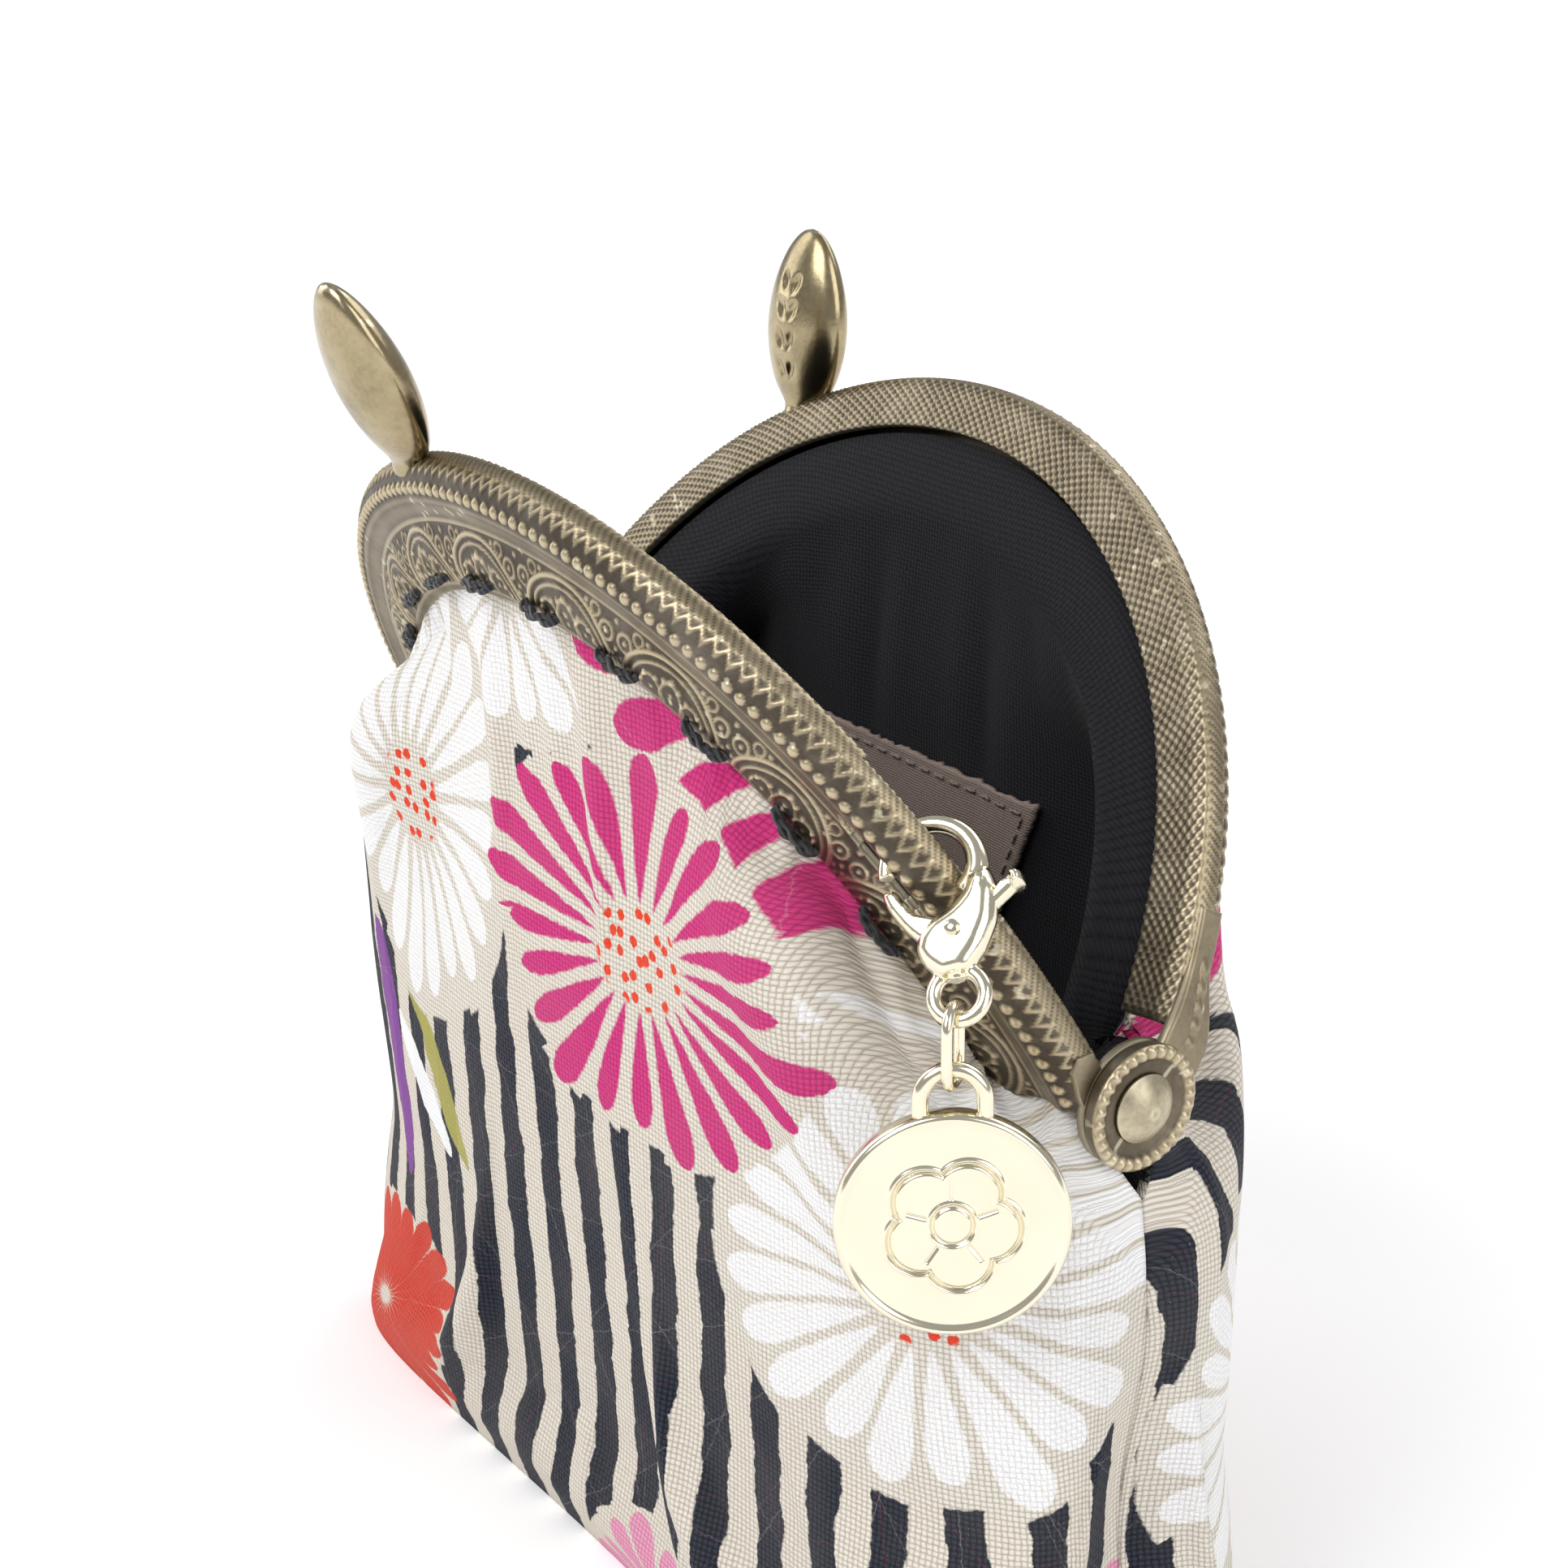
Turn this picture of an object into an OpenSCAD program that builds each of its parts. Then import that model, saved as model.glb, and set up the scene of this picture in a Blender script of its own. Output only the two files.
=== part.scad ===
// Kiss-lock coin purse: two half-round pressed frames on a shared hinge line,
// a boxed fabric pouch sewn into their channels, and a clip-on medallion charm.
// Origin: centre of the flat bottom. +Z up, X along the hinge line, -Y is the front.

/* [Frame] */
// Radius of the half-round frame at its crest
frame_r = 43; // [40:0.5:48]
// Height of the hinge line above the bottom
hinge_z = 52; // [46:0.5:60]
// Tilt of each frame half from closed, at rest
open_tilt = 29; // [15:1:40]
// Depth of the outer face, crest to lower edge
face_h = 10; // [9:0.5:12]
// Thickness of the pressed sheet
sheet = 0.6; // [0.5:0.05:0.7]
// Number of visible running stitches on each half
stitches = 12; // [8:1:14]
// Angle between neighbouring stitches
stitch_pitch = 14.2; // [11:0.1:14.2]

/* [Hinge] */
// Radius of the round ears
ear_r = 4.4; // [3.8:0.1:4.6]
// Shank radius of the hinge rivets
rivet_r = 1.2; // [1:0.05:1.4]
// Radial running clearance of the rivets
rivet_play = 0.05; // [0.02:0.01:0.1]

/* [Kiss-lock knobs] */
// Place of the front knob along the hinge direction
knob_front_x = -12; // [-16:0.5:-11]
// Place of the back knob along the hinge direction
knob_back_x = -21.5; // [-25:0.5:-21]
// Length of a knob
knob_l = 15.5; // [12:0.5:18]
// Width of a knob
knob_w = 8.6; // [7:0.1:9]
// Thickness of a knob
knob_t = 4.8; // [4:0.1:5.4]

/* [Pouch] */
// Half-width of the pouch at the bottom
base_half_w = 44.5; // [42:0.5:46]
// Half-depth of the pouch at the bottom
base_half_d = 17.2; // [15:0.1:19]
// Half-width at the widest height
belly_half_w = 46.8; // [45:0.1:48]
// Half-depth at the hinge height
hinge_half_d = 20.0; // [18:0.1:20.4]
// Thickness of the outer canvas
canvas_t = 0.8; // [0.6:0.1:1]
// Thickness of the padded interlining
padding_t = 1.0; // [0.6:0.1:1.2]
// Thickness of the lining
lining_t = 0.5; // [0.4:0.1:0.6]

/* [Charm] */
// Angle along the frame, from the right ear, of the charm eye
eye_angle = 31; // [28:1:33]
// Radius of the medallion disc
disc_r = 7.4; // [6:0.1:8]
// Thickness of the medallion disc
disc_t = 1.3; // [1:0.1:1.5]
// Direction the medallion faces, from straight ahead towards the right
disc_yaw = 54; // [50:1:58]

/* [Hidden] */
$fn = 96;
brass = [0.52, 0.46, 0.34];
gold = [0.87, 0.84, 0.74];
cream = [0.9, 0.87, 0.8];
black = [0.05, 0.05, 0.06];

low_r = frame_r - face_h;      // lower edge of the outer face
hole_r = low_r + 1.5;          // radius of the row of sewing holes
ear_x = frame_r + 0.1;         // inner face of the outer (back) ears
ear_t = 0.8;
ear_rim_w = 0.8;
ear_rim_h = 0.45;
tongue_x = frame_r - 0.8;      // inner face of the inner (front) ears
tongue_t = 0.75;

// ---------- placing and shared shapes ----------
// A frame half is drawn flat: angle 0 is the right end, local y points up to the crest
// and local z outward from the closing plane.
module on_front() translate([0, 0, hinge_z]) rotate([open_tilt, 0, 0])
  rotate([90, 0, 0]) children();
module on_back() translate([0, 0, hinge_z]) rotate([-open_tilt, 0, 0])
  mirror([0, 1, 0]) rotate([90, 0, 0]) children();
module both_ends() for (s = [0, 1]) mirror([s, 0, 0]) children();
module back_side() mirror([0, 1, 0]) children();

// Cylinder along +X, starting at x
module x_cylinder(x, r, h, facets) translate([x, 0, 0]) rotate([0, 90, 0])
  cylinder(r = r, h = h, $fn = facets);

// Part of a flat ring: a span of angle, radius and local z
module sector(angle0, angle1, r0, r1, z0, z1) rotate([0, 0, angle0])
  rotate_extrude(angle = angle1 - angle0) translate([r0, z0]) square([r1 - r0, z1 - z0]);

// ---------- frames ----------
// Channel section, all tables: [inset from the crest radius, distance from the closing plane]
crest_outside = [
  [4.3, 0.40], [1.3, 0.40], [0.55, 0.62], [0.12, 1.15],
  [0, 1.85], [0.12, 2.6], [0.6, 3.3], [1.3, 3.75]];
// Bead and face, on the outer surface; the inner surface lies one sheet behind
bead_and_face = [[2.4, 3.95], [3.3, 3.75], [4.2, 3.72], [5.2, 4.05], [6.4, 4.5], [8, 4.7]];
lower_edge = [[face_h - 0.3, 4.62], [face_h, 4.4], [face_h, 4.0]];
crest_inside = [
  [1.6, 3.72 - sheet], [1.0, 2.9], [sheet + 0.05, 2.4], [sheet, 1.85],
  [0.75, 1.35], [1.3, 0.4 + sheet], [4.3, 0.4 + sheet]];
channel_section = concat(crest_outside, bead_and_face, lower_edge,
  [for (i = [len(bead_and_face) - 1 : -1 : 0]) bead_and_face[i] - [0, sheet]],
  crest_inside);

module channel() rotate_extrude(angle = 180)
  polygon([for (p = channel_section) [frame_r - p[0], p[1]]]);

function hole_angle(i) = 90 + (i - (2 * stitches - 1) / 2) * stitch_pitch / 2;
module sewing_holes() for (i = [0 : 2 * stitches - 1]) rotate([0, 0, hole_angle(i)])
  translate([hole_r, 0, 2.9]) cylinder(r = 0.5, h = 3.1, $fn = 24);

module rivet_bore() x_cylinder(frame_r - 3, rivet_r + rivet_play, 6, 48);

// Openings that leave a bar along the crest for the charm
module charm_eye() {
  // slot through the face
  sector(eye_angle - 7, eye_angle + 8, frame_r - 4.9, frame_r - 1.65, -1, 6);
  // window in the inner wall
  sector(eye_angle - 9, eye_angle + 9, frame_r - 6, frame_r - 1.9, -1, 2.6);
  // notch in the crest's edge at the closing plane
  sector(eye_angle - 7.5, eye_angle + 8, frame_r - 3, frame_r + 1, -1, 1.3);
}

// The front half's inner ears run straight up the crest
module front_half() difference() {
  union() {
    channel();
    both_ends() {
      x_cylinder(tongue_x, ear_r, tongue_t, 64);
      translate([tongue_x, 0, 0.6]) cube([tongue_t, 8.6, 3.2]);
    }
  }
  both_ends() {
    // clear the channel's ends from the rivet tails
    translate([frame_r - 2.4, -6, -6]) cube([1.6, 8.2, 12]);
    rivet_bore();
  }
  sewing_holes();
  charm_eye();
}

// The back half's channel stops short; its outer ears step over the front ones
module back_half() difference() {
  union() {
    intersection() {
      channel();
      translate([-60, 5.2, -1]) cube([120, 60, 12]);
    }
    both_ends() {
      x_cylinder(ear_x, ear_r, ear_t, 64);
      translate([ear_x, 0, 0.5]) cube([ear_t, 9.5, 3.6]);
      translate([frame_r - 1.5, 5.4, 0.6]) cube([1.6 + ear_t, 4.1, 3.2]);
      // raised rim of the ear
      difference() {
        x_cylinder(ear_x, ear_r, ear_t + ear_rim_h, 64);
        x_cylinder(ear_x - 1, ear_r - ear_rim_w, ear_t + 3, 64);
      }
    }
  }
  both_ends() rivet_bore();
  sewing_holes();
}

module front_frame() color(brass) on_front() front_half();
module back_frame() color(brass) on_back() back_half();

// ---------- kiss-lock knobs ----------
// An ellipsoid on a short stem, standing on the crest at x
module knob(x, side_lean, in_lean)
  translate([x, sqrt(frame_r * frame_r - x * x) - 0.5, 2.0])
  rotate([0, 0, side_lean]) rotate([-in_lean, 0, 0]) {
    rotate([-90, 0, 0]) cylinder(r = 1.5, h = 3.4, $fn = 40);
    translate([0, knob_l / 2 + 1.0, 0])
      resize([knob_w, knob_l, knob_t]) sphere(r = 5, $fn = 40);
  }
module front_knob() color(brass) on_front() knob(knob_front_x, side_lean = -9, in_lean = 2);
module back_knob() color(brass) on_back() knob(knob_back_x, side_lean = -2, in_lean = 26);

// ---------- hinge rivets ----------
tail_t = 0.65;
head_dome_r = 3.35;

module rivet() translate([0, 0, hinge_z]) {
  x_cylinder(ear_x - 2.3, rivet_r, 3.6, 48);
  // tail, spread inside the inner ear
  x_cylinder(tongue_x - tail_t - 0.1, 1.9, tail_t, 48);
  // domed head
  translate([ear_x + ear_t + 0.05, 0, 0]) rotate([0, 90, 0]) intersection() {
    cylinder(r = 2.4, h = 2, $fn = 64);
    translate([0, 0, -2.2]) sphere(r = head_dome_r, $fn = 64);
  }
}
module right_rivet() color(brass) rivet();
module left_rivet() color(brass) mirror([1, 0, 0]) rivet();

// ---------- sewing thread on the frames ----------
stitch_r = 0.38;       // the visible stitch
thread_leg_r = 0.34;   // the thread passing through a hole
thread_z = 5.15;       // centre line of the visible stitches

module thread_row() for (k = [0 : stitches - 1]) {
  start = hole_angle(2 * k);
  end = hole_angle(2 * k + 1);
  rotate([0, 0, start]) rotate_extrude(angle = end - start)
    translate([hole_r, thread_z]) circle(r = stitch_r, $fn = 24);
  for (angle = [start, end]) rotate([0, 0, angle])
    translate([hole_r, 0, 3.1]) cylinder(r = thread_leg_r, h = 2.1, $fn = 24);
}
module front_frame_thread() color(black) on_front() thread_row();
module back_frame_thread() color(black) on_back() thread_row();

// ---------- hems: the panel edges held inside the channels ----------
module hem() difference() {
  sector(9, 171, low_r + 0.3, frame_r - 2.3, 1.35, 2.85);
  // gap behind the charm eye
  sector(eye_angle - 11, eye_angle + 12, frame_r - 6.4, frame_r + 2, 0, 5);
}
module front_panel_hem() color(cream) on_front() hem();
module back_panel_hem() color(cream) on_back() hem();

// ---------- pouch ----------
belly_z = 27;          // height of the widest plan
taper_h = 27;          // height above the belly over which the width shrinks
taper_w = 1.6;         // shrinkage of the half-width over taper_h
base_exponent = 16;    // superellipse exponents: nearly square at the bottom,
top_exponent = 3.3;    // rounder from the hinge height up
rim_low_z = hinge_z - 7;   // rim beside the hinges
rim_rise = 31;             // extra height of the rim in the middle
rim_half_w = 25.5;         // half-width of the raised part
centre_gap = 0.06;         // from each half's side edges to the plane y = 0
layer_gap = 0.1;
arc_steps = 40;        // steps around a half
wall_steps = 10;       // steps up the wall

// Plan at height z: a superellipse that is squarer and smaller towards the bottom
function blend(a, b, t) = a + (b - a) * min(1, max(0, t));
function half_width(z) = z < belly_z
  ? blend(base_half_w, belly_half_w, sin(90 * z / belly_z))
  : blend(belly_half_w, belly_half_w - taper_w, (z - belly_z) / taper_h);
function half_depth(z) = blend(base_half_d, hinge_half_d, z / hinge_z);
function exponent(z) = blend(base_exponent, top_exponent, pow(min(1, z / hinge_z), 0.35));
function signed_pow(v, p) = v < 0 ? -pow(-v, p) : pow(v, p);

// Scalloped rim: high in the middle under the frame, low beside the hinges
function rim_z(x) = rim_low_z + rim_rise * sqrt(max(0, 1 - pow(x / rim_half_w, 2)));

// Point i around and j up the front wall, at a depth inside the outer surface
function wall_point(i, j, depth) =
  let (angle = 180 * i / arc_steps,
       rim_x = (half_width(hinge_z) - depth) * signed_pow(cos(angle), 2 / top_exponent),
       z = j == 0 ? depth : depth + (rim_z(rim_x) - depth) * j / wall_steps,
       power = 2 / exponent(z))
  [(half_width(z) - depth) * signed_pow(cos(angle), power),
   -(half_depth(z) - depth) * signed_pow(sin(angle), power) - centre_gap,
   z];

// Indices of points on the outer and the inner surface
function outer(i, j) = j * (arc_steps + 1) + i;
function inner(i, j) = (wall_steps + 1) * (arc_steps + 1) + outer(i, j);
function split(a, b, c, d) = [[a, b, c], [a, c, d]];

// Front half of a fabric layer between two depths
module half_shell(outer_depth, inner_depth) {
  last = arc_steps;
  top = wall_steps;
  points = [for (depth = [outer_depth, inner_depth]) for (j = [0 : top]) for (i = [0 : last])
    wall_point(i, j, depth)];
  walls = [for (j = [0 : top - 1]) for (i = [0 : last - 1]) for (face = concat(
    split(outer(i, j), outer(i, j + 1), outer(i + 1, j + 1), outer(i + 1, j)),
    split(inner(i, j), inner(i + 1, j), inner(i + 1, j + 1), inner(i, j + 1)))) face];
  rim = [for (i = [0 : last - 1]) for (face =
    split(outer(i, top), inner(i, top), inner(i + 1, top), outer(i + 1, top))) face];
  side_edges = [for (j = [0 : top - 1]) for (face = concat(
    split(outer(0, j), inner(0, j), inner(0, j + 1), outer(0, j + 1)),
    split(outer(last, j), outer(last, j + 1), inner(last, j + 1), inner(last, j)))) face];
  // outer face, inner face and the edge along the centre
  bottom = [
    [for (i = [0 : last]) outer(i, 0)],
    [for (i = [0 : last]) inner(last - i, 0)],
    [outer(0, 0), outer(last, 0), inner(last, 0), inner(0, 0)]];
  polyhedron(points = points, faces = concat(walls, rim, side_edges, bottom), convexity = 6);
}

padding_depth = canvas_t + layer_gap;
lining_depth = padding_depth + padding_t + layer_gap;
module panel() half_shell(0, canvas_t);
module interlining() half_shell(padding_depth, padding_depth + padding_t);
module lining() half_shell(lining_depth, lining_depth + lining_t);

module front_panel() color(cream) panel();
module back_panel() color(cream) back_side() panel();
module front_interlining() color("white") interlining();
module back_interlining() color("white") back_side() interlining();
module front_lining() color(black) lining();
module back_lining() color(black) back_side() lining();

// ---------- inside label, facing forward from the back ----------
label_w = 27;
label_h = 17;
label_t = 0.5;
label_centre = [-5, 16.0, 42];
label_pitch = 1.9;     // of its stitches
label_inset = 1.1;     // from the label's edge to a stitch row
label_stitch = [1.2, 0.24, 0.2];

module label_place() translate(label_centre) rotate([90, -3, 0]) children();
module inside_label() color([0.36, 0.29, 0.26]) label_place()
  translate([-label_w / 2, -label_h / 2, 0]) cube([label_w, label_h, label_t]);

module label_stitch_at(x, y, size)
  translate([x - size[0] / 2, y - size[1] / 2, label_t + 0.02]) cube(size);
module label_thread() color([0.45, 0.37, 0.33]) label_place() for (s = [-1, 1]) {
  for (i = [-6 : 6])
    label_stitch_at(i * label_pitch, s * (label_h / 2 - label_inset), label_stitch);
  for (i = [-3 : 3])
    label_stitch_at(s * (label_w / 2 - label_inset), i * label_pitch,
      [label_stitch[1], label_stitch[0], label_stitch[2]]);
}

// ---------- charm: placing ----------
bar_r = frame_r - 0.95;   // centre line of the bar left beside the eye
bar_out = 2.6;            // its distance from the closing plane
bar_angle = eye_angle - 1;
eye_centre = [bar_r * cos(bar_angle),
  -bar_r * sin(bar_angle) * sin(open_tilt) - bar_out * cos(open_tilt),
  hinge_z + bar_r * sin(bar_angle) * cos(open_tilt) - bar_out * sin(open_tilt)];

// Turn point p about X, then Y, then Z, as rotate() does
function turn_x(p, a) = [p[0], p[1] * cos(a) - p[2] * sin(a), p[1] * sin(a) + p[2] * cos(a)];
function turn_y(p, a) = [p[0] * cos(a) + p[2] * sin(a), p[1], -p[0] * sin(a) + p[2] * cos(a)];
function turn_z(p, a) = [p[0] * cos(a) - p[1] * sin(a), p[0] * sin(a) + p[1] * cos(a), p[2]];
function turn(p, angles) = turn_z(turn_y(turn_x(p, angles[0]), angles[1]), angles[2]);

// Half a wire ring on the +y side, and a pair of straight wires along +y
module half_ring(ring_r, wire_r) rotate_extrude(angle = 180)
  translate([ring_r, 0]) circle(r = wire_r, $fn = 32);
module legs(spread, y, length, wire_r) for (s = [-1, 1])
  translate([s * spread, y, 0]) rotate([-90, 0, 0]) cylinder(r = wire_r, h = length, $fn = 32);

// ---------- charm: clasp ----------
clasp_rot = [48.35, -11.77, 41.71];
clasp_turn = [0, 0, 9];       // in the clasp's own plane
clasp_shift = [0.5, 0, 0];    // from the bar to the hook's centre
hook_r = 2.9;
hook_wire = 0.56;
pin_centre = [0.8, -4.7, 0];
ring_centre = [0.2, -8.6, 0];
ring_r = 1.62;
ring_wire = 0.5;
lever_t = 0.9;
// Outlines in the clasp's plane: [x, y]
body_outline = [
  [2.25, -0.9], [3.5, -0.6], [3.85, -2.4], [3.4, -4.6], [2.4, -6.3], [1.1, -7.4], [-0.7, -7.4],
  [-1.8, -6.3], [-2.2, -5.2], [-1.9, -4.3], [-1.0, -3.45], [0.6, -3.0], [1.8, -2.2]];
lever_outline = [
  [-3.5, -0.98], [-2.45, -0.85], [-1.5, -2.9], [0.3, -3.9], [1.4, -3.9], [4.5, -1.9], [5.3, -2.1],
  [5.3, -2.8], [4.4, -3.0], [1.7, -5.2], [0.4, -5.7], [-1.0, -5.5], [-2.3, -3.9]];

module clasp_place() translate(eye_centre) rotate(clasp_rot) rotate(clasp_turn)
  translate(clasp_shift) children();
function clasp_point(p) = eye_centre + turn(turn(p + clasp_shift, clasp_turn), clasp_rot);
module pin_bore(r) translate(pin_centre - [0, 0, 2]) cylinder(r = r, h = 4, $fn = 32);

module clasp_body() color(gold) clasp_place() difference() {
  union() {
    rotate([0, 0, -42]) rotate_extrude(angle = 222)
      translate([hook_r, 0]) circle(r = hook_wire, $fn = 32);
    translate([0, 0, -0.95]) linear_extrude(height = 2.2) polygon(body_outline);
    // eye ring and its neck
    translate(ring_centre) rotate_extrude() translate([ring_r, 0]) circle(r = ring_wire, $fn = 32);
    translate([ring_centre[0] - 0.6, -7.6, -0.5]) cube([1.2, 0.7, 1]);
  }
  // slot for the lever
  translate([-3.4, -6.4, -0.55]) cube([6.0, 3.9, 1.1]);
  translate([0.6, -4.6, -0.55]) rotate([0, 0, 33]) translate([0, -2.1, 0]) cube([6, 3.4, 1.1]);
  // spring pocket
  translate(pin_centre + [0, 0, 0.5]) cylinder(r = 1.1, h = 0.5, $fn = 40);
  pin_bore(0.42);
}
module clasp_lever() color(gold) clasp_place() difference() {
  translate([0, 0, -lever_t / 2]) linear_extrude(height = lever_t) polygon(lever_outline);
  pin_bore(0.44);
}
module clasp_lever_pin() color(gold) clasp_place()
  translate(pin_centre - [0, 0, 1.2]) cylinder(r = 0.38, h = 2.4, $fn = 32);
module clasp_spring() color("silver") clasp_place() translate(pin_centre + [0, 0, 0.78])
  rotate_extrude(angle = 290) translate([0.75, 0]) circle(r = 0.17, $fn = 24);

// ---------- charm: link and medallion ----------
// Lowest point of the tilted eye ring, where the link hangs
ring_axis = clasp_point([0, 0, 1]) - clasp_point([0, 0, 0]);
ring_down = ring_axis[2] * ring_axis - [0, 0, 1];
ring_low = clasp_point(ring_centre) + ring_r * ring_down / norm(ring_down);
ring_yaw = atan2(ring_axis[0], -ring_axis[1]);   // the wire's direction there

lean = [-3, -5, 0];       // the link and medallion hang a little off vertical
wire_gap = 0.06;
link_r = 1.4;
link_wire = 0.38;
link_straight = 2.3;
bail_r = 2.0;
bail_wire = 0.6;
bail_leg = 1.2;
disc_rim_w = 0.5;
disc_recess = 0.15;

function hang_down(length) = turn([0, 0, -length], lean);
module hang_place(place, yaw) translate(place) rotate(lean) rotate([0, 0, yaw]) children();

link_top = ring_low + [0, 0, ring_wire + link_wire + wire_gap];
link_low = link_top + hang_down(2 * link_r + link_straight);
bail_top = link_low - hang_down(link_wire + bail_wire + wire_gap);
disc_drop = bail_r + bail_leg + sqrt(disc_r * disc_r - bail_r * bail_r) - 0.3;

module charm_link() color(gold)
  hang_place(link_top + hang_down(link_r), ring_yaw + 4) rotate([90, 0, 90]) {
    half_ring(link_r, link_wire);
    translate([0, -link_straight, 0]) rotate([0, 0, 180]) half_ring(link_r, link_wire);
    legs(link_r, -link_straight, link_straight, link_wire);
  }

module medallion() color(gold)
  hang_place(bail_top + hang_down(disc_drop), disc_yaw) rotate([90, 0, 0]) {
    difference() {
      translate([0, 0, -disc_t / 2]) cylinder(r = disc_r, h = disc_t, $fn = 96);
      translate([0, 0, disc_t / 2 - disc_recess])
        cylinder(r = disc_r - disc_rim_w, h = 1, $fn = 96);
    }
    // bail
    leg_low = disc_r - 1.2;
    leg_top = disc_drop - bail_r;
    legs(bail_r, leg_low, leg_top - leg_low, bail_wire);
    translate([0, leg_top, 0]) half_ring(bail_r, bail_wire);
  }

front_frame();
back_frame();
front_knob();
back_knob();
right_rivet();
left_rivet();
front_frame_thread();
back_frame_thread();
front_panel_hem();
back_panel_hem();
front_panel();
back_panel();
front_interlining();
back_interlining();
front_lining();
back_lining();
inside_label();
label_thread();
clasp_body();
clasp_lever();
clasp_lever_pin();
clasp_spring();
charm_link();
medallion();
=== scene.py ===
"""An open clasp purse: two hinged frame halves of pressed brass, a padded and lined printed
canvas body, and a gold charm that hangs from the front half.

X runs along the hinge axis, +Z is up and the body stands on z = 0. The front half leans
towards -Y and the back half towards +Y. Lengths are millimetres until add_mesh turns them
into metres; materials, lights and the camera are in metres.
"""
import math
from collections import namedtuple

import bmesh
import bpy
import numpy as np
from mathutils import Matrix, Vector

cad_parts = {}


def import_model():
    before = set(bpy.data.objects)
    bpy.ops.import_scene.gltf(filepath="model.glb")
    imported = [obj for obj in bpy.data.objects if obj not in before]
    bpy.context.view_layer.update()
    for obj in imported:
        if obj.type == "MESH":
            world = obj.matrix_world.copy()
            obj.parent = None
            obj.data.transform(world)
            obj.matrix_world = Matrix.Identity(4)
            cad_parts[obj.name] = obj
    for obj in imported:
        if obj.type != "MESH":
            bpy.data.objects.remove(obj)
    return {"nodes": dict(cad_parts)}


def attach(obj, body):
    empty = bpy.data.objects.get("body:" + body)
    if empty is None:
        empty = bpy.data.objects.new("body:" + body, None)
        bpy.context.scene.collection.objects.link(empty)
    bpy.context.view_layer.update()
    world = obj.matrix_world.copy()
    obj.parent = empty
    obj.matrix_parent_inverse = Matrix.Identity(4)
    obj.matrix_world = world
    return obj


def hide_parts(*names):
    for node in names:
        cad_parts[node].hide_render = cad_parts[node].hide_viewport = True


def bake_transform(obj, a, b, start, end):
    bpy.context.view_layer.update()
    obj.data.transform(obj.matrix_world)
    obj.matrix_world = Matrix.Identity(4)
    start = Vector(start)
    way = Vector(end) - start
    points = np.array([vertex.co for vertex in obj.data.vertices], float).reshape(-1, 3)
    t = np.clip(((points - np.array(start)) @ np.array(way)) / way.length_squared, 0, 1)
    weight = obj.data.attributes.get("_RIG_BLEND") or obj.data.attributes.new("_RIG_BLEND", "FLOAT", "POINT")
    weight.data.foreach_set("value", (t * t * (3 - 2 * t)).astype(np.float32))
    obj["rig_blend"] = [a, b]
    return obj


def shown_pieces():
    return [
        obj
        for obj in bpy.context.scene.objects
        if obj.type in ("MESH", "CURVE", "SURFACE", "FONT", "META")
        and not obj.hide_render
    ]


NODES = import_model()["nodes"]
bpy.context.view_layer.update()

MM = 0.001
PI = math.pi
FRONT, BACK = -1, 1                    # the side of the XZ plane a half lies on
SIDE_NAME = {FRONT: "front", BACK: "back"}
HINGE_Z = 52.0                         # height of the hinge axis
OPENING = math.radians(29.0)           # lean of each half from upright
FRAME_R = 43.0                         # outer radius of the frame's arch
MIRROR_Y = np.array([1, -1, 1])


# ------------------------------------------------------------------ placing and curves
def on_half(points, side):
    """(x, up, out) in a half's own plane -> x, y, z."""
    x, up, out = np.moveaxis(np.asarray(points, float), -1, 0)
    y = side * (up * math.sin(OPENING) + out * math.cos(OPENING))
    z = HINGE_Z + up * math.cos(OPENING) - out * math.sin(OPENING)
    return np.stack([x, y, z], -1)


def in_plane(points, side):
    """The up and out coordinates of points in a half's own plane."""
    y, rise = side * points[..., 1], points[..., 2] - HINGE_Z
    return (y * math.sin(OPENING) + rise * math.cos(OPENING),
            y * math.cos(OPENING) - rise * math.sin(OPENING))


def unit(vector):
    return vector / np.linalg.norm(vector)


def ease(value):
    """Smooth step from 0 to 1."""
    value = np.clip(value, 0, 1)
    return value * value * (3 - 2 * value)


def bell(distance, width):
    return np.exp(-(distance / width) ** 2)


def arc_length(points):
    return np.r_[0, np.cumsum(np.linalg.norm(np.diff(points, axis=0), axis=1))]


def resample(points, count, shares=None):
    """Points at even steps, or at the given shares of the length."""
    length = arc_length(points)
    at = np.linspace(0, length[-1], count) if shares is None else shares * length[-1]
    return np.stack([np.interp(at, length, column) for column in points.T], 1)


def blur_path(points, window):
    """Moving average along a path whose ends stay in place."""
    window = window / window.sum()
    reach = len(window) // 2
    columns = []
    for column in points.T:
        before = 2 * column[0] - column[reach:0:-1]
        after = 2 * column[-1] - column[-2:-reach - 2:-1]
        columns.append(np.convolve(np.r_[before, column, after], window, "valid"))
    return np.stack(columns, 1)


def smooth_path(points, width, passes):
    for _ in range(passes):
        points = blur_path(points, np.hanning(width + 2)[1:-1])
    return points


def bezier(t, start, leave, arrive, end):
    """Cubic curve; t is a column."""
    return ((1 - t) ** 3 * start + 3 * t * (1 - t) ** 2 * leave
            + 3 * t * t * (1 - t) * arrive + t ** 3 * end)


# ------------------------------------------------------------------ meshes
def shade_smooth(mesh):
    mesh.polygons.foreach_set("use_smooth", np.ones(len(mesh.polygons), bool))


def add_relief(mesh, values):
    attribute = mesh.attributes.new("relief", "FLOAT", "POINT")
    attribute.data.foreach_set("value", np.asarray(values, np.float32).ravel())


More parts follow.
